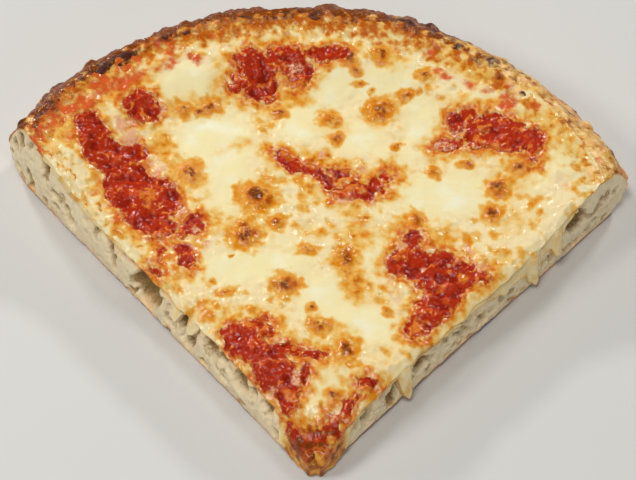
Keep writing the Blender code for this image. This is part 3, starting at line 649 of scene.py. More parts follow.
@dataclass
class Layout:
    """Where sauce, pools, blisters and stains lie on the slice."""

    form: SliceForm
    view: View
    wander: Grain = field(default_factory=lambda: Grain(3))
    tint: Grain = field(default_factory=lambda: Grain(4))
    pulp: Grain = field(default_factory=lambda: Grain(23))
    tone_at: tuple[float, ...] = (-95, -62, -40, 5, 30, 52, 70, 95)
    tones: tuple[float, ...] = (0.85, 0.9, 0.95, 0.9, 0.75, 0.48, 0.22, 0.32)

    def survey(self, x: Array, y: Array) -> Survey:
        """Looks up what lies at points of the slice.

        Args:
            x: Places across.
            y: Places from tip to rim.

        Returns:
            Distances and shares at each point.
        """
        shift = []
        for start in (0.5, 9.5):
            shift.append(2.0 * self.wander.at(x / 9.0, y / 9.0, start)
                         + 1.3 * self.wander.at(x / 3.6, y / 3.6, start + 4.0)
                         + 0.6 * self.wander.at(x / 1.5, y / 1.5, start + 7.0))
        warped = (x + shift[0], y + shift[1])
        near = (x + 0.6 * shift[0], y + 0.6 * shift[1])
        reach = self.reach(SAUCE_PATCHES, *warped)
        pool = self.weight(POOLS, *warped, 0.5, 1.5) * (1.0 - smooth(-3.4, -0.3, reach))
        return Survey(x, y, self.form.radius(x, y), self.form.inside(Side.LEFT, x, y),
                      self.form.inside(Side.RIGHT, x, y), warped, near, reach, pool)

    def look(self, piece: bpy.types.Object) -> tuple[Array, Survey]:
        """Returns a piece's points and what lies at each."""
        points = points_of(piece)
        return points, self.survey(points[:, 0], points[:, 1])

    def oval(self, spot: Spot, x: Array, y: Array) -> Array:
        """Measures how far points are from the middle of an oval.

        Args:
            spot: The oval, as the view shows it.
            x: Places across.
            y: Places from tip to rim.

        Returns:
            The distance, which is 1 on the oval's outline.
        """
        middle_x, middle_y = self.view.on_slice(self.form, spot.x, spot.y)
        turn = math.radians(spot.turn)
        away_x, away_y = x - middle_x, y - middle_y
        along = away_x * math.cos(turn) + away_y * math.sin(turn)
        across = away_y * math.cos(turn) - away_x * math.sin(turn)
        return np.hypot(along / (0.5 * spot.length), across / (0.5 * spot.width))

    def reach(self, spots: tuple[Spot, ...], x: Array, y: Array) -> Array:
        """Measures roughly how far inside a group of ovals points lie.

        Args:
            spots: The ovals.
            x: Places across.
            y: Places from tip to rim.

        Returns:
            The depth in millimetres, negative outside.
        """
        deepest = np.full(x.shape, -30.0)
        for spot in spots:
            size = 0.25 * (spot.length + spot.width)
            deepest = np.maximum(deepest, (1.0 - self.oval(spot, x, y)) * size)
        return deepest

    def weight(self, spots: tuple[Spot, ...], x: Array, y: Array, inner: float,
               outer: float) -> Array:
        """Finds the strongest weight that a group of ovals has at points.

        Args:
            spots: The ovals.
            x: Places across.
            y: Places from tip to rim.
            inner: The share of each oval inside which its weight is full.
            outer: The share of each oval beyond which it has none.

        Returns:
            The strongest weight at each point.
        """
        strongest = np.zeros(x.shape)
        for spot in spots:
            share = 1.0 - smooth(inner, outer, self.oval(spot, x, y))
            strongest = np.maximum(strongest, spot.weight * share)
        return strongest

    def lump(self, at: Survey) -> Array:
        """Shapes the lumps of the sauce's crushed pulp.

        Args:
            at: The points.

        Returns:
            How far the pulp stands up or sinks, in millimetres.
        """
        x, y = at.x, at.y
        wx, wy = at.warped
        lump = 0.65 * self.pulp.flat(x, y, 7.0) + 0.6 * self.pulp.flat(x, y, 3.2, 3.0)
        lump += 0.36 * (1.0 - 2.6 * np.abs(self.pulp.flat(wx, wy, 5.0, 8.0)))
        lump += 0.28 * (1.0 - 2.6 * np.abs(self.pulp.flat(x, y, 2.3, 12.0)))
        return lump + 0.2 * self.pulp.flat(x, y, 1.2, 5.0) - 0.2

    def masks(self, at: Survey) -> dict[str, Array]:
        """Works out the shares of the colours that the slice's top shows.

        Args:
            at: The points.

        Returns:
            A share for each mask that the finishes read.
        """
        x, y, tint = at.x, at.y, self.tint
        wide = tint.flat(x, y, 7.0, 1.0)
        mid = tint.flat(x, y, 2.8, 2.0)
        speck = tint.flat(x, y, 1.1, 3.0)
        sauce = smooth(-1.9, 1.0, at.reach + 0.9 * mid + 0.7 * speck)
        ring = np.exp(-((at.reach + 1.8) / 3.4) ** 2)
        curd = 1.0 - at.pool
        stain = self.weight(AMBER_STAINS, *at.warped, 0.2, 1.5)
        tone = np.interp(x, self.tone_at, self.tones)
        rim = smooth(84.0, 95.0, at.radius + 2.5 * mid)
        tip = smooth(14.0, 7.0, np.hypot(x, y) + 1.5 * mid)
        shoulder = smooth(15.0, 5.0, at.left) * smooth(50.0, 75.0, y)
        oily = smooth(85.0, 91.0, at.radius) * smooth(101.0, 96.0, at.radius)
        oily = oily * smooth(-28.0, -52.0, x) * smooth(0.1, 0.9, 0.5 + 0.7 * wide + 0.6 * mid)
        amber = most(smooth(-0.1, 1.0, 0.15 + 0.9 * wide + 0.7 * mid + 0.2 * speck) * curd ** 1.5,
                     stain * (1.25 + 0.8 * mid + 0.3 * speck),
                     ring * (0.8 + 0.8 * mid + 0.3 * speck),
                     rim * (0.15 + 0.9 * tone + 0.6 * mid + 0.3 * speck),
                     tip * (1.0 + 0.4 * mid),
                     shoulder * (0.32 + 0.8 * mid + 0.5 * wide + 0.5 * speck))
        rust = most(smooth(0.5, 1.2, stain + 0.8 * mid + 0.5 * speck) * curd * 0.8,
                    ring * smooth(0.0, 0.9, mid + 0.6 * speck) * 0.9,
                    rim * (1.0 - 0.8 * oily)
                    * (1.35 * tone - 0.1 + 0.5 * wide + 0.5 * mid + 0.5 * speck),
                    tip * (0.65 + 0.6 * mid + 0.4 * speck),
                    shoulder * smooth(0.35, 0.8, speck + 0.6 * mid))
        brown = most(smooth(93.0, 99.5, at.radius + 2.5 * mid)
                     * (1.6 * tone - 0.25 + 0.6 * wide + 0.5 * mid),
                     tip * (0.45 + 0.7 * mid + 0.4 * speck))
        dark = np.zeros(x.shape)
        for spot in BLISTERS:
            oval = self.oval(spot, *at.near)
            amber = most(amber, (1.0 + 0.5 * spot.weight)
                         * (1.0 - smooth(0.6, 1.9, oval + 0.5 * mid + 0.2 * speck)))
            rust = most(rust, (0.35 + 0.85 * spot.weight + 0.4 * speck)
                        * (1.0 - smooth(0.3, 1.2, oval + 0.4 * mid + 0.2 * speck)))
            brown = most(brown, (spot.weight + 0.05 + 0.6 * speck)
                         * (1.0 - smooth(0.15, 0.8, oval + 0.3 * mid)))
            dark = most(dark, (spot.weight - 0.7 + 0.6 * speck)
                        * (1.0 - smooth(0.1, 0.5, oval + 0.2 * mid)))
        film = most(self.weight(RED_SMEARS, *at.warped, 0.3, 1.5),
                    (0.68 + 0.5 * speck) * np.exp(-((at.reach + 0.9) / 2.1) ** 2), 1.1 * oily)
        lump = self.lump(at)
        rind = 0.5 * smooth(2.5, 0.0, at.reach)
        lumps = self.weight(ORANGE_LUMPS, *at.warped, 0.4, 1.3)
        oil = most(lumps * (0.75 + 0.6 * mid + 0.5 * lump),
                   smooth(0.4, 0.9, tint.flat(x, y, 1.7, 9.0) + 0.5 * lump + rind)) * sauce
        glaze = most(self.weight(PINK_GLAZES, *at.warped, 0.4, 1.3),
                     0.5 * shoulder * smooth(-0.2, 0.8, wide - 0.5 * mid))
        glaze = most(glaze * (0.9 + 0.6 * mid + 0.5 * speck),
                     0.85 * smooth(0.4, 0.9, speck + 0.5 * lump + 0.5 * rind) * sauce)
        return {"pool": at.pool, "amber": amber, "rust": rust, "brown": brown, "dark": dark,
                "film": film * (1.0 - sauce), "sauce": sauce, "oil": oil, "glaze": glaze,
                # painted shade: the valleys of the sauce's pulp are darker red
                "low": 0.7 * smooth(0.05, -1.1, lump + 0.3 * speck) * sauce,
                # painted highlight: the tops of the sauce's lumps are lighter red
                "high": smooth(0.0, 0.75, lump + 0.4 * speck) * sauce}


@dataclass
class Relief:
    """The heights of sauce and cheese over the bread, before the slice settles."""

    form: SliceForm
    layout: Layout
    coarse: Grain = field(default_factory=lambda: Grain(21))
    fine: Grain = field(default_factory=lambda: Grain(22))

    def shared_top(self, at: Survey) -> Array:
        """Shapes the level that cheese and sauce come up to together.

        Args:
            at: The points.

        Returns:
            The height at each point.
        """
        form = self.form
        full = form.gap + form.sauce_thickness + form.cheese_thickness
        share = form.topping(at.radius + 1.8 * self.coarse.flat(at.x, at.y, 6.0, 14.0))
        swell = 0.5 * self.coarse.flat(at.x, at.y, 22.0)
        swell += 0.3 * self.coarse.flat(at.x, at.y, 9.0, 4.0)
        left = np.clip(1.0 - at.left / 9.0, 0.0, 1.2) ** 2
        right = np.clip(1.0 - at.right / 4.5, 0.0, 1.2) ** 2
        return form.bread_level(at.radius) + share * (full + swell - 2.4 * left - 1.3 * right)

    def cheese(self, at: Survey) -> Array:
        """Shapes the cheese's top: curd, froth, smooth pools and domed blisters.

        Args:
            at: The points.

        Returns:
            The height at each point.
        """
        x, y = at.x, at.y
        curd = 1.0 - 0.88 * at.pool
        froth = smooth(-0.2, 0.4, self.coarse.flat(x, y, 6.0, 6.0))
        _, away, _ = self.fine.cells(x / 2.0, y / 2.0)
        bumps = 0.42 * self.fine.flat(x, y, 3.2) + 0.24 * self.fine.flat(x, y, 1.6, 3.0)
        bumps += 0.5 * froth * smooth(0.66, 0.05, away)
        detail = bumps * curd + at.pool * (0.28 + 0.16 * self.coarse.flat(x, y, 7.0, 9.0))
        for spot in BLISTERS:
            oval = self.layout.oval(spot, *at.near)
            size = 0.5 * (spot.length + spot.width)
            dome = np.clip(1.0 - oval * oval, 0.0, 1.0)
            crinkle = 1.0 + 0.6 * self.fine.flat(x, y, 1.7, 5.0)
            detail = detail + 0.12 * size * dome * crinkle
        sink = 0.22 * smooth(-1.4, -0.2, at.reach) + 1.3 * smooth(-0.4, 3.0, at.reach)
        return self.shared_top(at) + detail * (1.0 - 0.4 * smooth(88, 98, at.radius)) - sink

    def sauce(self, at: Survey) -> Array:
        """Shapes the sauce's top, which mounds up at each patch that shows.

        Args:
            at: The points.

        Returns:
            The height at each point.
        """
        lump = self.layout.lump(at)
        share = smooth(-2.6, 1.0, at.reach)
        top = self.shared_top(at) - 1.0 + share * (1.0 + lump * smooth(-1.6, 1.4, at.reach))
        return np.maximum(top, self.form.bread_level(at.radius) + self.form.gap + 0.25)


@dataclass
class Placing:
    """Moves pieces from the slice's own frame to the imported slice's place."""

    form: SliceForm
    tip: Vector

    def finish(self, piece: bpy.types.Object, material: bpy.types.Material) -> None:
        """Settles a piece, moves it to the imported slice, and lets it ride on the body.

        Args:
            piece: The finished piece.
            material: What it is made of.
        """
        points = self.form.settle(points_of(piece))
        move_points(piece, points + np.array(self.tip) / MM)
        for polygon in piece.data.polygons:
            polygon.use_smooth = True
        piece.data.materials.clear()
        piece.data.materials.append(material)
        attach(piece, "root")
        logging.info("%s: %d faces", piece.name, len(piece.data.polygons))


def add_node(tree: bpy.types.NodeTree, kind: str, values: dict | None = None,
             links: dict | None = None, **settings: object) -> bpy.types.Node:
    """Adds a node to a finish.

    Args:
        tree: The node tree.
        kind: Blender's type of the node.
        values: Numbers and colours of its unlinked sockets, by name or place.
        links: Output sockets that feed its sockets, by name or place.
        settings: Its own properties.

    Returns:
        The node.
    """
    node = tree.nodes.new(kind)
    for name, value in settings.items():
        setattr(node, name, value)
    for socket, value in (values or {}).items():
        node.inputs[socket].default_value = value
    for socket, output in (links or {}).items():
        tree.links.new(output, node.inputs[socket])
    return node


def per_metre(size_mm: float) -> float:
    """Returns the texture scale whose pattern repeats about once in a size."""
    return 1.0 / (size_mm * MM)


class Finish:
    """A material that is started: its tree, its shader and the object's own coordinates."""

    def __init__(self, name: str) -> None:
        """Makes the material.

        Args:
            name: The material's name.
        """
        self.material = bpy.data.materials.new(name)
        self.material.use_nodes = True
        self.tree = self.material.node_tree
        self.shader = self.tree.nodes["Principled BSDF"]
        self.place = add_node(self.tree, "ShaderNodeTexCoord").outputs["Object"]

    def mask(self, name: str) -> bpy.types.NodeSocket:
        """Returns the socket of a value stored in the mesh."""
        return add_node(self.tree, "ShaderNodeAttribute", attribute_name=name).outputs["Fac"]

    def grain(self, size_mm: float, detail: float = 3.0,
              roughness: float = 0.55) -> bpy.types.NodeSocket:
        """Adds noise of a real size.

        Args:
            size_mm: The size of its grains.
            detail: How many finer noises it holds.
            roughness: How strong the finer ones are.

        Returns:
            The noise from 0 to 1.
        """
        node = add_node(self.tree, "ShaderNodeTexNoise",
                        {"Scale": per_metre(size_mm), "Detail": detail, "Roughness": roughness},
                        {"Vector": self.place})
        return node.outputs["Fac"]

    def bubbles(self, size_mm: float) -> bpy.types.NodeSocket:
        """Adds round cells of a real size.

        Args:
            size_mm: The size of a cell.

        Returns:
            How far each point is from its cell's middle.
        """
        node = add_node(self.tree, "ShaderNodeTexVoronoi",
                        {"Scale": per_metre(size_mm), "Randomness": 1.0},
                        {"Vector": self.place}, feature="SMOOTH_F1")
        return node.outputs["Distance"]

    def broken(self, mask: bpy.types.NodeSocket, grain: bpy.types.NodeSocket, amount: float,
               low: float = 0.3, high: float = 0.7) -> bpy.types.NodeSocket:
        """Breaks a mask's edge up with noise.

        Args:
            mask: The mask.
            grain: Noise from 0 to 1.
            amount: How much of the noise is added.
            low: Where the broken mask starts.
            high: Where it is full.

        Returns:
            The broken mask.
        """
        swing = add_node(self.tree, "ShaderNodeMapRange",
                         {"From Min": 0.25, "From Max": 0.75, "To Min": 1.0 - amount,
                          "To Max": 1.0 + amount}, {"Value": grain}).outputs[0]
        uneven = add_node(self.tree, "ShaderNodeMath", None, {0: mask, 1: swing},
                          operation="MULTIPLY").outputs[0]
        return add_node(self.tree, "ShaderNodeMapRange", {"From Min": low, "From Max": high},
                        {"Value": uneven}, interpolation_type="SMOOTHSTEP").outputs[0]

    def layered(self, base: bpy.types.NodeSocket | str,
                layers: list[tuple[bpy.types.NodeSocket, str]]) -> bpy.types.NodeSocket:
        """Lays colours over each other.

        Args:
            base: The lowest colour, as a socket or an sRGB hex value.
            layers: Pairs of a mask and the hex colour that it lays on.

        Returns:
            The mixed colour.
        """
        below = base
        for amount, colour in layers:
            values = {7: linear(colour)}
            links = {0: amount}
            if isinstance(below, str):
                values[6] = linear(below)
            else:
                links[6] = below
            below = add_node(self.tree, "ShaderNodeMix", values, links,
                             data_type="RGBA").outputs[2]
        return below

    def raised(self, reliefs: list[tuple[bpy.types.NodeSocket, float]]) -> None:
        """Gives the shader fine relief.

        Args:
            reliefs: Pairs of a height pattern and its depth in millimetres.
        """
        normal = None
        for height, depth in reliefs:
            links = {"Height": height}
            if normal is not None:
                links["Normal"] = normal
            normal = add_node(self.tree, "ShaderNodeBump",
                              {"Strength": 1.0, "Distance": depth * MM}, links).outputs[0]
        self.tree.links.new(normal, self.shader.inputs["Normal"])

    def set(self, **values: object) -> None:
        """Sets numbers of the shader, with underscores for the spaces in socket names."""
        for name, value in values.items():
            self.shader.inputs[name.replace("_", " ")].default_value = value

    def feed(self, socket: str, output: bpy.types.NodeSocket) -> None:
        """Links a pattern to a socket of the shader."""
        self.tree.links.new(output, self.shader.inputs[socket])

    def ranged(self, value: bpy.types.NodeSocket, low: float,
               high: float) -> bpy.types.NodeSocket:
        """Turns a pattern from 0 to 1 to another range."""
        return add_node(self.tree, "ShaderNodeMapRange", {"To Min": low, "To Max": high},
                        {"Value": value}).outputs[0]


@dataclass(frozen=True)
class Baking:
    """Top colours from heat, oil and tomato, and the sauce's painted shade and highlights, for all
    layers.
    """

    cream: str = "#efe0aa"
    milk: str = "#efeaca"
    straw: str = "#e9be62"
    amber: str = "#dc860a"
    rust: str = "#b8580f"
    brown: str = "#7a3a0b"
    dark: str = "#54270d"
    film: str = "#d25c26"
    flesh: str = "#ac2c10"
    # painted shade: the darker red of the sauce's valleys and of sauce lying low
    deep: str = "#8c1c08"
    # painted highlight: the lighter red of the tops of the sauce's lumps
    painted_highlight_red: str = "#cc4c20"
    oil: str = "#da7a2a"
    glaze: str = "#e6ae88"

    def over(self, finish: Finish, base: bpy.types.NodeSocket | str) -> bpy.types.NodeSocket:
        """Lays the colours of the top over a layer's own colour.

        Args:
            finish: The finish that is being built.
            base: The layer's own colour.

        Returns:
            The mixed colour.
        """
        wide = finish.grain(9.0, 3.0)
        mid = finish.grain(2.6, 5.0, 0.6)
        fine = finish.grain(0.9, 4.0, 0.6)
        mask = finish.mask
        return finish.layered(base, [
            (finish.broken(mask("pool"), mid, 0.35, 0.1, 1.0), self.cream),
            (finish.broken(mask("pool"), wide, 0.9, 0.7, 1.9), self.milk),
            (finish.broken(mask("amber"), mid, 0.4, 0.0, 0.7), self.straw),
            (finish.broken(mask("amber"), mid, 0.45, 0.3, 1.25), self.amber),
            (finish.broken(mask("film"), mid, 0.7, 0.15, 1.0), self.film),
            (finish.broken(mask("rust"), mid, 0.55, 0.25, 1.2), self.rust),
            (finish.broken(mask("sauce"), fine, 0.4, 0.2, 0.85), self.flesh),
            # painted shade: darker red in the valleys and low places of the sauce's pulp
            (finish.broken(mask("low"), fine, 0.4, 0.15, 0.9), self.deep),
            # painted highlight: lighter red on the tops of the sauce's lumps
            (finish.broken(mask("high"), fine, 0.6, 0.3, 1.0), self.painted_highlight_red),
            (finish.broken(mask("oil"), fine, 0.6, 0.3, 1.0), self.oil),
            (finish.broken(mask("glaze"), fine, 0.8, 0.3, 1.1), self.glaze),
            (finish.broken(mask("brown"), fine, 0.6, 0.25, 0.95), self.brown),
            (finish.broken(mask("dark"), fine, 0.7, 0.3, 0.85), self.dark),
        ])


@dataclass(frozen=True)
class BakedBread:
    """Baked yeast dough: a dry, browned outside, charred in spots, and a pale open crumb."""

    pale: str = "#f8cb8a"
    gold: str = "#da8630"
    brown: str = "#783608"
    char: str = "#4c2110"
    crumb: str = "#ecd9b2"
    # painted shade: the darker beige of the crumb's pits and opened bubbles
    painted_pit_shade: str = "#9c7c4a"
    baking: Baking = Baking()

    def material(self) -> bpy.types.Material:
        """Builds the finish.

        Returns:
            The material.
        """
        finish = Finish("baked_bread")
        wide = finish.grain(9.0, 3.0)
        mid = finish.grain(2.6, 4.0)
        fine = finish.grain(0.7, 3.0)
        pores = finish.bubbles(1.1)
        outside = finish.layered(self.pale, [
            (finish.broken(finish.mask("bake"), mid, 0.6, 0.1, 0.7), self.gold),
            (finish.broken(finish.mask("bake"), wide, 0.5, 0.55, 1.05), self.brown),
        ])
        outside = self.baking.over(finish, outside)
        outside = finish.layered(outside, [
            (finish.broken(finish.mask("char"), mid, 0.9, 0.15, 1.15), self.char)])
        # the crumb, with painted shade in its pits and deep in its opened bubbles
        inside = finish.layered(self.crumb, [
            (finish.broken(finish.mask("painted_pit_shade"), fine, 0.5, 0.05, 0.9), self.painted_pit_shade)])
        colour = add_node(finish.tree, "ShaderNodeMix", None,
                          {0: finish.mask("crumb"), 6: outside, 7: inside},
                          data_type="RGBA").outputs[2]
        finish.feed("Base Color", colour)
        finish.feed("Roughness", finish.ranged(mid, 0.16, 0.55))
        finish.set(IOR=1.42, Specular_IOR_Level=0.34, Subsurface_Weight=0.2,
                   Subsurface_Scale=0.0014, Subsurface_Radius=(1.0, 0.62, 0.34))
        finish.raised([(pores, 0.1), (fine, 0.12), (mid, 0.2)])
        return finish.material


@dataclass(frozen=True)
class TomatoSauce:
    """Cooked crushed tomato: wet pulp with painted shade in its seams and orange oil on its tops.
    """

    pulp: str = "#b2351a"
    baking: Baking = Baking()

    def material(self) -> bpy.types.Material:
        """Builds the finish.

        Returns:
            The material.
        """
        finish = Finish("cooked_tomato_sauce")
        mid = finish.grain(1.6, 4.0)
        fine = finish.grain(0.55, 3.0)
        finish.feed("Base Color", self.baking.over(finish, self.pulp))
        finish.feed("Roughness", finish.ranged(mid, 0.08, 0.2))
        finish.set(IOR=1.38, Specular_IOR_Level=0.27, Subsurface_Weight=0.1, Subsurface_Scale=0.001,
                   Subsurface_Radius=(1.0, 0.35, 0.2))
        finish.raised([(mid, 0.08), (fine, 0.05)])
        return finish.material


@dataclass(frozen=True)
class MeltedMozzarella:
    """Melted and grilled mozzarella: cream pools, amber oil and browned blisters."""

    curd: str = "#f0dba9"
    baking: Baking = Baking()

    def material(self) -> bpy.types.Material:
        """Builds the finish.

        Returns:
            The material.
        """
        finish = Finish("melted_mozzarella")
        wide = finish.grain(6.0, 3.0)
        fine = finish.grain(0.7, 3.0)
        froth = finish.bubbles(1.2)
        smooth_pool = finish.ranged(finish.mask("pool"), 1.0, 0.0)
        finish.feed("Base Color", self.baking.over(finish, self.curd))
        dull = add_node(finish.tree, "ShaderNodeMath", {1: 0.28},
                        {0: finish.mask("pool"), 2: finish.ranged(wide, 0.06, 0.34)},
                        operation="MULTIPLY_ADD").outputs[0]
        finish.feed("Roughness", dull)
        finish.set(IOR=1.4, Specular_IOR_Level=0.38, Subsurface_Weight=0.2, Subsurface_Scale=0.0009,
                   Subsurface_Radius=(1.0, 0.7, 0.4))
        frothy = add_node(finish.tree, "ShaderNodeMath", None, {0: froth, 1: smooth_pool},
                          operation="MULTIPLY").outputs[0]
        grainy = add_node(finish.tree, "ShaderNodeMath", None, {0: fine, 1: smooth_pool},
                          operation="MULTIPLY").outputs[0]
        finish.raised([(frothy, 0.06), (grainy, 0.05)])
        return finish.material


@dataclass(frozen=True)
class Bubble:
    """A bubble of the crumb that a cut has opened."""

    along: float
    height: float
    width: float
    tall: float
    depth: float
    tilt: float


def as_bubbles(*rows: tuple[float, ...]) -> tuple[Bubble, ...]:
    """Returns bubbles from rows of along, height, width, tall, depth and tilt."""
    return tuple(Bubble(*row) for row in rows)


LEFT_BUBBLES = as_bubbles(
    (16.5, 6, 4, 4, 1.6, 0), (21, 11, 4, 8, 2.4, -14), (28, 11, 3.6, 5, 1.8, -14),
    (33.5, 10, 6, 8.5, 2.4, -10), (42, 12.5, 3, 4.5, 2.6, -18), (44, 6.5, 2.4, 3.4, 2, -10),
    (48.5, 12.5, 5.5, 6.5, 2.8, 0), (61, 11.5, 5, 10, 3, -12), (78, 8.8, 11.5, 13.5, 4.6, -6),
    (90, 14, 1.8, 6, 1.6, -6), (94.5, 7.5, 2.6, 9, 2.4, -26), (97.5, 14.5, 3.6, 8, 2.8, -18),
    (103.5, 14, 3, 8, 2, -18), (108, 15, 4.5, 4, 1.4, 0), (113.5, 18.5, 5, 8, 3, -14),
    (124, 10, 3.6, 4, 1.8, 0), (128.5, 19, 4, 8, 2.6, -8), (136.5, 7.5, 4, 8, 2.8, -20),
)

RIGHT_BUBBLES = as_bubbles(
    (22, 9.5, 4, 11, 2.2, -14), (29, 13, 3.4, 6, 1.8, -14), (33, 6.5, 4, 8, 3.2, -14),
    (45, 10.5, 6, 6.5, 3.4, 0), (48, 5.5, 3, 4, 2.2, -10), (60, 6, 4, 3, 2, 0),
    (72, 7, 2.6, 2.2, 1.6, 0), (76, 6, 2.4, 2.6, 1.8, 0), (81, 6.5, 3.4, 2.6, 2, 0),
    (88, 4.5, 2.6, 2.2, 1.6, 0), (99.5, 7.5, 3.4, 3.4, 2, 0), (115, 14.5, 8, 10, 4.2, -8),
    (116, 4, 3, 3, 1.8, 0), (121, 4.5, 2.6, 3, 1.8, 0), (125.5, 15, 2.6, 6.5, 2.4, -6),
    (132, 14.5, 4, 4, 1.8, 0),
)

# turn about the middle of the pizza in degrees, height and width of each blister of the rim
RIM_BLISTERS = (
    (48.0, 19.0, 6.5), (41.0, 23.0, 5.0), (31.0, 21.5, 5.5), (22.0, 24.0, 4.5),
    (8.0, 22.0, 5.5), (-4.0, 23.5, 6.0), (-15.0, 24.5, 4.5), (-24.0, 22.5, 5.0),
    (-33.0, 24.5, 5.5), (-38.0, 19.0, 4.5), (-48.0, 25.0, 5.5), (-57.0, 18.5, 4.5),
)


@dataclass(frozen=True)
class Hem:
    """How low the cheese hangs on a cut face: heights over the foot at distances from the tip."""

    side: Side
    along: tuple[float, ...]
    lowest: tuple[float, ...]

    def low(self, along: Array) -> Array:
        """Finds how low the cheese hangs, with soft curves between the marks.

        Args:
            along: Distances from the tip.

        Returns:
            Heights over the foot.
        """
        marks, heights = np.array(self.along), np.array(self.lowest)
        part = np.clip(np.searchsorted(marks, along) - 1, 0, len(marks) - 2)
        share = smooth(0.0, 1.0, (along - marks[part]) / (marks[part + 1] - marks[part]))
        return heights[part] + share * (heights[part + 1] - heights[part])


HEMS = (
    Hem(Side.LEFT,
        (-1.0, 8.0, 13.0, 17.0, 22.0, 38.0, 53.0, 55.5, 57.5, 59.5, 61.5, 63.0, 64.5, 66.5, 73.0,
         77.0, 82.0, 87.0, 93.0, 108.0, 120.0, 132.0),
        (0.6, 0.8, 5.0, 13.0, 15.0, 15.8, 15.0, 10.5, 9.5, 14.0, 13.5, 9.0, 9.5, 15.0, 17.0,
         15.0, 16.5, 17.5, 19.5, 23.0, 26.0, 30.0)),
    Hem(Side.RIGHT,
        (-1.0, 7.0, 11.0, 15.0, 20.0, 27.0, 34.5, 36.0, 37.6, 39.0, 41.0, 46.0, 52.0, 62.0, 72.0,
         78.0, 81.0, 85.0, 90.5, 92.8, 94.6, 96.4, 98.5, 102.0, 104.0, 106.0, 108.5, 118.0,
         130.0),
        (0.6, 0.8, 4.0, 12.0, 15.5, 14.0, 13.0, 4.0, 1.4, 3.4, 13.5, 17.0, 14.0, 13.0, 14.0,
         11.0, 9.5, 10.5, 9.5, 4.0, 1.8, 4.2, 12.0, 12.5, 7.5, 8.5, 17.5, 22.5, 29.0)),
)


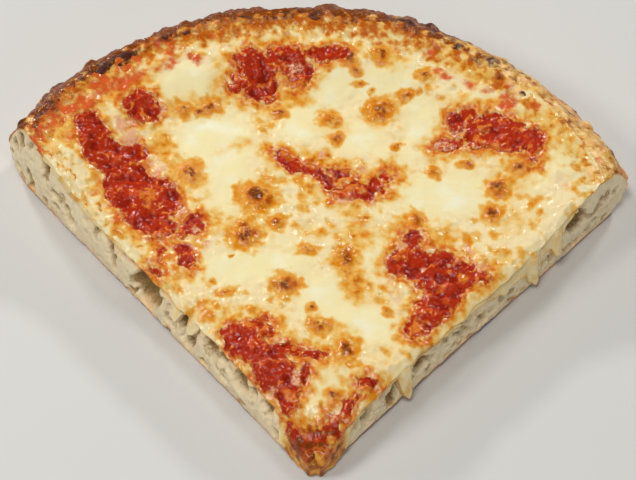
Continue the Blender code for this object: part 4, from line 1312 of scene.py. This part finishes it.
@dataclass
class Crust:
    """The bread: turned, cut, opened where bubbles show, and roughened."""

    form: SliceForm
    layout: Layout
    placing: Placing
    steps_round: int = 260
    slope_rings: int = 9
    bulge_points: int = 9
    foot_points: int = 6
    voxel: float = 0.52
    small_bubbles: int = 64
    bubble_start: float = 13.0
    hidden_share: float = 0.03
    seed: int = 5
    grain: Grain = field(default_factory=lambda: Grain(31))

    def build(self) -> bpy.types.Object:
        """Models the bread and dresses it.

        Returns:
            The finished piece.
        """
        bread = self._turn()
        for side in Side:
            bisect_off(bread, np.zeros(3), self.form.outward(side), True)
        self._open_bubbles(bread)
        apply_modifier(bread, "REMESH", mode="VOXEL", voxel_size=self.voxel * MM)
        points = points_of(bread)
        radius = self.form.radius(points[:, 0], points[:, 1])
        deep = self.form.depth(points[:, 0], points[:, 1])
        near_top = np.abs(points[:, 2] - self.form.bread_level(radius)) < 0.7
        hidden = (near_top & (radius < 90.0)) | ((points[:, 2] < 0.4) & (radius < 97.0))
        hidden &= deep > 1.5
        thin_hidden(bread, hidden, self.hidden_share)
        self._colour(bread)
        self._roughen(bread)
        self.placing.finish(bread, BakedBread().material())
        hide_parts("crust")
        return bread

    def _turn(self) -> bpy.types.Object:
        """Turns the bread's section about the middle of the pizza, from its foot up.

        Returns:
            The round bread, not yet cut.
        """
        form = self.form
        profile = []
        for point in range(self.foot_points, -1, -1):
            turn = 0.5 * math.pi * point / self.foot_points
            profile.append((form.foot_radius
                            + (form.rim_radius - form.foot_radius) * math.cos(turn),
                            form.bulge_height * (1.0 - math.sin(turn))))
        for point in range(self.bulge_points - 1, -1, -1):
            turn = 0.5 * math.pi * point / self.bulge_points
            profile.append((form.lip_radius
                            + (form.rim_radius - form.lip_radius) * math.sin(turn),
                            form.bulge_height
                            + (form.lip_height - form.bulge_height) * math.cos(turn)))
        for ring in range(self.slope_rings - 1, -1, -1):
            radius = form.flat_radius + (form.lip_radius - form.flat_radius) \
                * ring / self.slope_rings
            profile.append((radius, float(form.bread_level(np.array(radius)))))
        middle = (form.rim_centre[0] * MM, form.rim_centre[1] * MM)
        deselect()
        bpy.ops.mesh.primitive_circle_add(vertices=self.steps_round, radius=profile[0][0] * MM,
                                          fill_type="NGON", location=(*middle, 0.0))
        bread = bpy.context.active_object
        bread.name = "bread_crust"
        bpy.ops.object.transform_apply(location=True)
        edit_all(bread)
        for (below_radius, below), (radius, height) in zip(profile, profile[1:]):
            bpy.ops.mesh.extrude_region_move(
                TRANSFORM_OT_translate={"value": (0.0, 0.0, (height - below) * MM)})
            share = radius / below_radius
            bpy.ops.transform.resize(value=(share, share, 1.0),
                                     center_override=(*middle, height * MM))
        leave_edit_mode()
        face_out(bread)
        return bread

    def _open_bubbles(self, bread: bpy.types.Object) -> None:
        """Cuts open the bubbles of both cut faces: the named ones and small seeded ones.

        Args:
            bread: The cut bread.
        """
        draw = np.random.default_rng(self.seed)
        cutters = bpy.data.collections.new("bubbles")
        bpy.context.scene.collection.children.link(cutters)
        for side, named in ((Side.LEFT, LEFT_BUBBLES), (Side.RIGHT, RIGHT_BUBBLES)):
            bubbles = list(named)
            length = 150.0 if side is Side.LEFT else 138.0
            while len(bubbles) < len(named) + self.small_bubbles:
                along = draw.uniform(self.bubble_start, length)
                place = self.form.along(side) * along
                radius = self.form.radius(place[0], place[1])
                size = 1.4 + 3.4 * draw.random() ** 2.0
                ceiling = float(self.form.bread_level(radius)) - 1.2
                height = draw.uniform(2.6, ceiling)
                if self.form.skin_depth(radius, np.array(height)) < 0.5 * size + 1.0:
                    continue
                tall = min(size * draw.uniform(0.9, 2.0), 1.6 * (height - 1.5))
                bubbles.append(Bubble(along, height, size, tall, draw.uniform(0.4, 0.65) * size,
                                      draw.uniform(-28.0, 8.0)))
            for bubble in bubbles:
                self._add_bubble(side, bubble, cutters)
        apply_modifier(bread, "BOOLEAN", operation="DIFFERENCE", operand_type="COLLECTION",
                       collection=cutters, solver="EXACT")
        for cutter in list(cutters.objects):
            bpy.data.objects.remove(cutter, do_unlink=True)
        bpy.data.collections.remove(cutters)

    def _add_bubble(self, side: Side, bubble: Bubble, cutters: bpy.types.Collection) -> None:
        """Adds one uneven bubble that reaches through a cut face.

        Args:
            side: The cut.
            bubble: Its place and size.
            cutters: Where it is added.
        """
        detail = 3 if bubble.tall > 4.5 else 2
        bpy.ops.mesh.primitive_ico_sphere_add(subdivisions=detail, radius=MM)
        cutter = bpy.context.active_object
        points = points_of(cutter)
        bumps = self.grain.at(points[:, 0] * 1.3 + bubble.along, points[:, 1] * 1.3,
                              points[:, 2] * 1.3)
        points *= (1.0 + 0.14 * bumps)[:, None]
        tilt = math.radians(bubble.tilt)
        wide = points[:, 0] * 0.58 * bubble.width
        up = points[:, 2] * 0.52 * bubble.tall
        across = wide * math.cos(tilt) - up * math.sin(tilt)
        height = wide * math.sin(tilt) + up * math.cos(tilt) + bubble.height
        out = points[:, 1] * 1.35 * bubble.depth + 0.3
        along = self.form.along(side)
        outward = self.form.outward(side)
        placed = (bubble.along + across)[:, None] * along + out[:, None] * outward
        placed[:, 2] += height
        move_points(cutter, placed)
        face_out(cutter)
        for holder in list(cutter.users_collection):
            holder.objects.unlink(cutter)
        cutters.objects.link(cutter)

    def _colour(self, bread: bpy.types.Object) -> None:
        """Stores where the bread is crumb, browned, charred or oily, and painted shade in its pits.

        Args:
            bread: The bread, before it is roughened.
        """
        points = points_of(bread)
        x, y, z = points.T
        radius = self.form.radius(x, y)
        at = self.layout.survey(*self.form.draw_in(x, y))
        at.radius = radius
        skin = self.form.skin_depth(radius, z)
        wide = self.grain.at(x / 8.0, y / 8.0, z / 6.0)
        mid = self.grain.at(x / 3.2, y / 3.2, z / 3.2)
        speck = self.grain.at(x / 1.2, y / 1.2, z / 1.2)
        crumb = smooth(0.5, 1.4, skin + 0.3 * mid)
        along = np.hypot(x, y)
        tip = smooth(15.0, 8.0, along + 2.0 * mid)
        over = self.form.bread_level(radius) - z
        seep = smooth(4.0, 0.5, over + 1.6 * mid) * smooth(0.0, 0.9, 0.1 + wide)
        stained = np.maximum(tip, 0.5 * seep)
        low = (1.0 - smooth(0.8, 3.4, z + 1.5 * mid)) * 0.85
        paint(bread, "crumb", crumb * (1.0 - stained) * (1.0 - 0.8 * low))
        pits = self._pits(x, y, z)
        # painted shade deep in the opened bubbles and in the crumb's pits
        paint(bread, "painted_pit_shade", (smooth(0.5, 3.2, at.depth) + 0.62 * pits + 0.15 * speck) * crumb)
        masks = self.layout.masks(at)
        on_top = smooth(109.0, 103.0, radius + 2.5 * mid) * smooth(11.0, 18.0, z)
        on_top *= 1.0 - smooth(0.3, 1.2, skin)
        for name in ("pool", "dark", "film", "sauce", "glaze", "oil"):
            paint(bread, name, masks[name] * on_top)
        paint(bread, "rust", np.maximum(masks["rust"] * on_top, tip * (0.7 + 0.6 * mid)))
        paint(bread, "brown", np.maximum(masks["brown"] * on_top,
                                         tip * (0.35 + 0.8 * mid + 0.4 * speck)))
        paint(bread, "amber", np.maximum(masks["amber"] * on_top,
                                         np.maximum(0.5 * seep, 0.9 * tip) * crumb))
        out = smooth(97.0, 104.0, radius)
        high = smooth(4.0, 18.0, z)
        tone = np.interp(x, self.layout.tone_at, self.layout.tones)
        bake = 0.08 + 1.8 * tone * high * out + 0.5 * wide + 0.5 * mid + 0.3 * speck
        bake = np.where(z < 1.5, 0.7 + 0.5 * wide + 0.3 * mid, bake)
        bake = np.maximum(bake, tip * (0.5 + 0.5 * mid))
        bake = np.where(crumb > 0.5, np.maximum(0.25 + 0.5 * mid, bake * low), bake)
        paint(bread, "bake", np.where(seep * crumb > 0.4, 0.1 + 0.4 * mid, bake))
        char = self.layout.weight(RIM_CHAR, *at.near, 0.5, 1.25) * smooth(9.0, 14.0, z)
        scorch = smooth(-0.1, 0.7, wide + 0.6 * mid) * smooth(99.5, 103.0, radius + 1.5 * mid)
        scorch *= smooth(8.0, 15.0, z) * smooth(-0.2, 0.9, tone + 0.4 * mid)
        char = np.maximum(char * smooth(80.0, 88.0, radius), 0.85 * scorch)
        paint(bread, "char", char * (1.0 - crumb))

    def _pits(self, x: Array, y: Array, z: Array) -> Array:
        """Lays out the open cells of the crumb.

        Args:
            x: Places across.
            y: Places from tip to rim.
            z: Heights over the foot.

        Returns:
            How deep the cells are, as a share of the deepest.
        """
        across = np.hypot(x, y) + 0.3 * z + 1.2 * self.grain.at(x / 5.0, y / 5.0, z / 5.0)
        height = z + 0.9 * self.grain.at(x / 4.0, y / 4.0, z / 4.0 + 7.0)
        large, _, inner = self.grain.cells(across / 4.4, height / 4.8)
        pits = smooth(0.35, 0.9, large) * smooth(0.02, 0.6, inner)
        small, _, inside = self.grain.cells(across / 1.5 + 40.0, height / 1.7)
        return np.maximum(pits, 0.45 * smooth(0.35, 1.0, small) * smooth(0.02, 0.4, inside))

    def _roughen(self, bread: bpy.types.Object) -> None:
        """Gives the rim its swells and blisters and the cut faces their torn crumb.

        Args:
            bread: The coloured bread.
        """
        points, normals = points_of(bread), normals_of(bread)
        x, y, z = flat = points.T.copy()
        radius = self.form.radius(x, y)
        crumb = smooth(0.5, 1.4, self.form.skin_depth(radius, z))
        points[:, 0], points[:, 1] = self.form.draw_in(x, y)
        torn = 0.7 * self._pits(x, y, z) + 0.1 * self.grain.at(x / 1.2, y / 1.2, z / 1.0)
        torn += 0.3 * self.grain.at(x / 9.0, y / 9.0, z / 7.0) - 0.3
        points -= normals * (crumb * torn)[:, None]
        self._lean(points, flat)
        self._swell(points, flat)
        rind = (1.0 - crumb) * smooth(89.0, 98.0, radius) * smooth(0.6, 3.0, z)
        points += normals * (rind * self._blistered(flat))[:, None]
        self._lift(points, flat)
        points[:, 2] = np.maximum(points[:, 2], 0.0)
        move_points(bread, points)

    def _lean(self, points: Array, flat: Array) -> None:
        """Leans the cut faces back, and sinks them where the cheese hangs over them.

        Args:
            points: The bread's points, which move.
            flat: Where they were at first, as x, y and z.
        """
        x, y, z = flat
        away = np.hypot(x, y)
        up = np.clip(z / self.form.bread_level(self.form.radius(x, y)), 0.0, 1.0)
        for hem in HEMS:
            edge = smooth(3.0, 0.4, self.form.inside(hem.side, x, y)) * smooth(4.0, 14.0, away)
            covered = smooth(-0.5, 1.5, z - hem.low(away))
            lean = self.form.lean_out(hem.side, up) - 0.9 * covered
            points += (lean * edge)[:, None] * self.form.outward(hem.side)

    def _swell(self, points: Array, flat: Array) -> None:
        """Moves the rim in and out in soft swells, the more the further out.

        Args:
            points: The bread's points, which move.
            flat: Where they were at first, as x, y and z.
        """
        form = self.form
        radius = form.radius(flat[0], flat[1])
        places = np.flatnonzero((radius > form.topping_radius + 1.0) & (flat[2] > 0.5))
        share = np.clip((radius[places] - form.topping_radius)
                        / (form.rim_radius - form.topping_radius), 0.0, 1.0)
        for index, part in zip(places, share):
            start = Vector(points[index])
            away = Vector((start.x - form.rim_centre[0], start.y - form.rim_centre[1], 0.0))
            swell = noise.noise(start / 34.0 + Vector((3.0, 1.0, 0.0)))
            bump = noise.noise(start / 9.0)
            start += away.normalized() * part * (1.6 * swell + 1.5 * bump)
            start.z += part * (0.9 * swell + 1.1 * noise.noise(start / 11.0))
            points[index] = start

    def _blistered(self, flat: Array) -> Array:
        """Lays out the rim's cracked lumps and its round blisters.

        Args:
            flat: The bread's points at first, as x, y and z.

        Returns:
            How far the rim stands up, in millimetres.
        """
        form = self.form
        x, y, z = flat
        turned = np.arctan2(y - form.rim_centre[1], x - form.rim_centre[0]) * form.rim_radius
        lump, _, inner = self.grain.cells(turned / 5.5 + 0.5 * self.grain.flat(x, y, 4.0),
                                          z / 4.5 + form.radius(x, y) / 6.0)
        rise = 0.9 * lump * smooth(0.0, 0.6, inner) - 0.3
        rise = rise + 0.35 * self.grain.layers(x / 2.6, y / 2.6, z / 2.6)
        for turn, height, width in RIM_BLISTERS:
            angle = math.radians(turn)
            level = (height - form.bulge_height) / (form.lip_height - form.bulge_height)
            away = form.lip_radius + (form.rim_radius - form.lip_radius) \
                * math.cos(math.asin(min(1.0, level)))
            centre = (form.rim_centre[0] - away * math.sin(angle),
                      form.rim_centre[1] + away * math.cos(angle), height)
            gone = np.sqrt((x - centre[0]) ** 2 + (y - centre[1]) ** 2 + (z - centre[2]) ** 2)
            rise = rise + np.clip(1.0 - (gone / (0.55 * width)) ** 2, 0.0, 1.0)
        return rise

    def _lift(self, points: Array, flat: Array) -> None:
        """Lifts the lower edges of the two cuts a little, unevenly.

        Args:
            points: The bread's points, which move.
            flat: Where they were at first, as x, y and z.
        """
        x, y, z = flat
        along = np.hypot(x, y)
        lifted = 1.7 * smooth(3.5, 0.0, self.form.inside(Side.RIGHT, x, y)) * smooth(4.0, 0.5, z)
        lifted *= smooth(8.0, 20.0, along) * smooth(100.0, 70.0, along)
        points[:, 2] += lifted * (0.6 + 0.8 * self.grain.at(along / 5.0, along * 0.0, 3.0))
        ragged = smooth(2.0, 0.2, self.form.inside(Side.LEFT, x, y)) * smooth(2.5, 0.0, z)
        points[:, 2] += ragged * np.clip(0.5 + 0.9 * self.grain.at(along / 3.0, along / 9.0), 0, 2)


@dataclass
class Sheet:
    """What the sauce and the cheese share: a fine sheet over the slice with a flat underside."""

    form: SliceForm
    layout: Layout
    relief: Relief
    placing: Placing
    finish: bpy.types.Material
    cell: float
    edge: float
    overhang: float
    half_width: float = 100.0
    front: float = -3.0
    under_share: float = 0.02
    top_share: float = 0.04
    grain: Grain = field(default_factory=lambda: Grain(51))

    def make(self, name: str) -> bpy.types.Object:
        """Makes the sheet as a slab whose top is at height 1 and whose underside is at 0.

        Args:
            name: The object's name.

        Returns:
            The slab.
        """
        back = self.form.rim_centre[1] + self.edge + 1.0
        width, length = 2.0 * self.half_width, back - self.front
        deselect()
        bpy.ops.mesh.primitive_grid_add(
            x_subdivisions=round(width / self.cell), y_subdivisions=round(length / self.cell),
            size=1.0, location=(0.0, 0.5 * (self.front + back) * MM, 0.0))
        sheet = bpy.context.active_object
        sheet.name = name
        sheet.scale = (width * MM, length * MM, 1.0)
        bpy.ops.object.transform_apply(location=True, rotation=True, scale=True)
        for side in Side:
            bisect_off(sheet, self.form.outward(side) * self.overhang,
                       self.form.outward(side), False)
        points = points_of(sheet)
        select_points(sheet, self.form.radius(points[:, 0], points[:, 1]) > self.edge)
        bpy.ops.mesh.delete(type="VERT")
        bpy.ops.mesh.select_all(action="SELECT")
        bpy.ops.mesh.extrude_region_move(TRANSFORM_OT_translate={"value": (0.0, 0.0, MM)})
        leave_edit_mode()
        face_out(sheet)
        return sheet

    def shape(self, sheet: bpy.types.Object, points: Array, at: Survey, top: Array,
              floor: Array) -> None:
        """Gives the sheet its heights and moves its edges back with the leaning cut faces.

        Args:
            sheet: The slab.
            points: Its points, which move along.
            at: What lies at its points, whose places move along too.
            top: The heights of its top.
            floor: The heights of its underside.
        """
        points[:, 2] = np.where(points[:, 2] > 0.5, top, floor)
        away = np.hypot(at.x, at.y)
        for side, inside in ((Side.LEFT, at.left), (Side.RIGHT, at.right)):
            edge = smooth(4.0, -0.5, inside) * smooth(4.0, 14.0, away)
            uneven = 0.9 * self.grain.at(away / 6.0, away * 0.0)
            back = self.form.lean_out(side, np.ones(1))[0] + uneven
            points += (edge * back)[:, None] * self.form.outward(side)
        move_points(sheet, points)

    def dress(self, sheet: bpy.types.Object, masks: dict[str, Array]) -> None:
        """Stores the masks in the sheet and finishes it.

        Args:
            sheet: The shaped sheet.
            masks: The shares of the colours at its points.
        """
        for name, values in masks.items():
            paint(sheet, name, values)
        self.placing.finish(sheet, self.finish)


@dataclass
class Sauce(Sheet):
    """The tomato sauce: a thin layer, with lumpy pulp at each patch that shows."""

    cell: float = 0.42
    edge: float = 91.0
    overhang: float = 0.5

    def build(self) -> bpy.types.Object:
        """Models the sauce and dresses it.

        Returns:
            The finished piece.
        """
        sheet = self.make("sauce_layer")
        points, at = self.layout.look(sheet)
        thin_hidden(sheet, (points[:, 2] < 0.5) & (at.depth > 0.8), self.under_share)
        points, at = self.layout.look(sheet)
        covered = (points[:, 2] > 0.5) & (at.reach < -3.0) & (at.depth > 1.5)
        thin_hidden(sheet, covered, self.top_share)
        points, at = self.layout.look(sheet)
        top = self.relief.sauce(at)
        self.shape(sheet, points, at, top, self.form.bread_level(at.radius) + self.form.gap)
        masks = self.layout.masks(at)
        level = top - self.relief.shared_top(at)
        # painted shade where the sauce lies below the cheese's level
        masks["low"] = masks["low"] + 0.8 * smooth(0.2, -0.7, level) * masks["sauce"]
        # painted highlight only where the sauce stands above the cheese's level
        masks["high"] = masks["high"] * smooth(-0.6, 0.4, level)
        self.dress(sheet, masks)
        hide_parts("tomato_sauce")
        return sheet


@dataclass
class Cheese(Sheet):
    """The melted mozzarella over the sauce, with pools, blisters and stains."""

    cell: float = 0.47
    edge: float = 98.5
    overhang: float = 0.9

    def build(self) -> bpy.types.Object:
        """Models the cheese and dresses it.

        Returns:
            The finished piece.
        """
        sheet = self.make("mozzarella_layer")
        points = points_of(sheet)
        deep = self.form.depth(points[:, 0], points[:, 1])
        thin_hidden(sheet, (points[:, 2] < 0.5) & (deep > 0.4), self.under_share)
        points, at = self.layout.look(sheet)
        floor = self.form.bread_level(at.radius) + self.form.gap + self.form.sauce_thickness
        top = self.relief.cheese(at)
        self.shape(sheet, points, at, top, np.minimum(floor, top - 0.35))
        self.dress(sheet, self.layout.masks(at))
        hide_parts("mozzarella")
        return sheet


@dataclass
class CheeseRuns:
    """The cheese that has run over the two cuts in a thin skin with drips."""

    form: SliceForm
    layout: Layout
    relief: Relief
    placing: Placing
    finish: bpy.types.Material
    cell: float = 0.42
    rows: int = 44
    grain: Grain = field(default_factory=lambda: Grain(41))

    def build(self) -> list[bpy.types.Object]:
        """Models the skin of each cut and dresses it.

        Returns:
            The finished pieces.
        """
        return [self._skin(hem) for hem in HEMS]

    def _skin(self, hem: Hem) -> bpy.types.Object:
        """Makes the skin of one cut.

        Args:
            hem: The cut and how low its cheese hangs.

        Returns:
            The finished piece.
        """
        start, end = hem.along[0], hem.along[-1]
        columns = round((end - start) / self.cell)
        deselect()
        bpy.ops.mesh.primitive_grid_add(x_subdivisions=columns, y_subdivisions=self.rows,
                                        size=1.0, location=(0.5, 0.5, 0.0))
        skin = bpy.context.active_object
        skin.name = f"mozzarella_run_{hem.side.name.lower()}"
        bpy.ops.object.transform_apply(location=True)
        edit_all(skin)
        bpy.ops.mesh.extrude_region_move(TRANSFORM_OT_translate={"value": (0.0, 0.0, 1.0)})
        leave_edit_mode()
        share, up, layer = (points_of(skin) * MM).T
        along = start + share * (end - start)
        place = along[:, None] * self.form.along(hem.side)
        at = self.layout.survey(place[:, 0], place[:, 1])
        top = self.relief.shared_top(at) - 0.7
        low = hem.low(along) + 0.7 * self.grain.at(along / 3.0, along * 0.0)
        low = np.minimum(low, top - 1.2)
        tongue = np.clip(0.5 * (hem.low(along - 3.5) + hem.low(along + 3.5)) - low, 0.0, 8.0)
        height = low + up * (top - low)
        gone = up * (top - low)
        bead = np.exp(-((gone - 0.9) / 0.8) ** 2)
        thick = 0.8 + 0.4 * bead + 0.35 * self.grain.at(along / 4.2, height / 9.0, 2.0)
        thick += 0.17 * tongue + 0.9 * smooth(11.0, 5.0, along)
        thick += 0.3 * self.grain.flat(along, height, 2.6, 5.0)
        thick -= 0.5 * smooth(2.0, 0.0, top - height)
        face = -0.5 + (0.45 + thick) * np.sqrt(smooth(0.0, 1.6, gone))
        level = np.clip(height / self.form.bread_level(at.radius), 0.0, 1.0)
        out = np.where(layer > 0.5, face, -1.6)
        out += self.form.lean_out(hem.side, level) * smooth(4.0, 14.0, along)
        points = place + out[:, None] * self.form.outward(hem.side)
        points[:, 2] = height
        move_points(skin, points)
        face_out(skin)
        self._colour(skin, hem, at, along, height, bead)
        self.placing.finish(skin, self.finish)
        return skin

    def _colour(self, skin: bpy.types.Object, hem: Hem, at: Survey, along: Array, height: Array,
                bead: Array) -> None:
        """Stores the colours of one skin.

        Args:
            skin: The skin.
            hem: The cut that it hangs on.
            at: What lies on the slice's top above its points.
            along: How far its points are from the tip.
            height: How high they are.
            bead: How much each lies on the thick lower edge.
        """
        masks = self.layout.masks(at)
        top = self.relief.shared_top(at)
        near_top = smooth(9.0 if hem.side is Side.LEFT else 5.0, 0.5, top - height)
        mid = self.grain.at(along / 2.4, height / 4.5, 8.0)
        tip = smooth(16.0, 9.0, along + 2.0 * mid)
        for name in ("pool", "film", "sauce", "oil", "glaze", "dark"):
            paint(skin, name, masks[name] * near_top)
        paint(skin, "brown", np.maximum(masks["brown"] * near_top, tip * (0.4 + 0.8 * mid)))
        yellow = 0.22 + 0.35 * mid + (0.35 * bead if hem.side is Side.RIGHT else -0.1)
        paint(skin, "amber", np.maximum(np.maximum(masks["amber"] * near_top, yellow), 0.9 * tip))
        paint(skin, "rust", np.maximum(masks["rust"] * near_top, tip * (0.75 + 0.7 * mid)))


# name, place in metres, size in metres and power in watts of each soft light
LIGHTS = (
    ("back_left", (-0.45, 0.75, 0.5), 0.1, 3.4),
    ("back_right", (0.5, 0.7, 0.55), 0.1, 3.0),
    ("left", (-0.7, -0.15, 0.7), 0.25, 3.0),
    ("top", (-0.1, -0.3, 0.95), 0.25, 3.4),
    ("front", (0.45, -0.8, 0.4), 0.3, 1.6),
)


@dataclass
class Studio:
    """The plain floor, the soft lights and the camera."""

    view: View
    placing: Placing
    floor_size: float = 4.0
    floor_colour: str = "#d2d0cb"
    sky_strength: float = 0.12

    def build(self) -> None:
        """Adds the floor, the lights and the camera."""
        bpy.ops.mesh.primitive_plane_add(size=self.floor_size, location=(0.0, 0.0, 0.0))
        floor = bpy.context.active_object
        floor.name = "floor"
        material = bpy.data.materials.new("pale_floor")
        material.use_nodes = True
        shader = material.node_tree.nodes["Principled BSDF"]
        shader.inputs["Base Color"].default_value = linear(self.floor_colour)
        shader.inputs["Roughness"].default_value = 0.8
        floor.data.materials.append(material)
        for light in LIGHTS:
            self._light(*light)
        world = bpy.data.worlds.new("studio")
        world.use_nodes = True
        sky = world.node_tree.nodes["Background"]
        sky.inputs["Color"].default_value = (1.0, 1.0, 1.0, 1.0)
        sky.inputs["Strength"].default_value = self.sky_strength
        bpy.context.scene.world = world
        bpy.context.scene.view_settings.view_transform = "Standard"
        self._camera()

    def _light(self, name: str, place: tuple[float, float, float], size: float,
               power: float) -> None:
        """Adds a square light that looks at the middle of the slice.

        Args:
            name: Its name.
            place: Where it stands, in metres.
            size: The length of its sides.
            power: Its power in watts.
        """
        light = bpy.data.lights.new(name, "AREA")
        light.size = size
        light.energy = power
        lamp = bpy.data.objects.new(name, light)
        lamp.location = place
        lamp.rotation_euler = (-Vector(place)).to_track_quat("-Z", "Y").to_euler()
        bpy.context.scene.collection.objects.link(lamp)

    def _camera(self) -> None:
        """Adds the camera at the photograph's viewing angle."""
        lens = bpy.data.cameras.new("camera")
        lens.lens = self.view.lens
        lens.sensor_width = self.view.sensor
        camera = bpy.data.objects.new("camera", lens)
        camera.location = Vector(self.view.eye() * MM) + self.placing.tip
        camera.rotation_euler = (0.5 * math.pi - self.view.elevation, 0.0, 0.0)
        bpy.context.scene.collection.objects.link(camera)
        bpy.context.scene.camera = camera


def find_tip(node: bpy.types.Object) -> Vector:
    """Returns the foot of the slice's tip: the point of the bread that lies furthest forward."""
    lowest = min(node.data.vertices, key=lambda vertex: (round(vertex.co.y, 5), vertex.co.z))
    return Vector((lowest.co.x, lowest.co.y, 0.0))


def main() -> None:
    """Builds the slice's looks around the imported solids."""
    logging.basicConfig(level=logging.INFO, format="%(relativeCreated)d ms %(message)s")
    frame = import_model()
    form = SliceForm()
    view = View()
    placing = Placing(form, find_tip(frame["nodes"]["crust"]))
    layout = Layout(form, view)
    relief = Relief(form, layout)
    cheese_finish = MeltedMozzarella().material()
    Crust(form, layout, placing).build()
    Sauce(form, layout, relief, placing, TomatoSauce().material()).build()
    Cheese(form, layout, relief, placing, cheese_finish).build()
    CheeseRuns(form, layout, relief, placing, cheese_finish).build()
    Studio(view, placing).build()


if __name__ == "__main__":
    main()
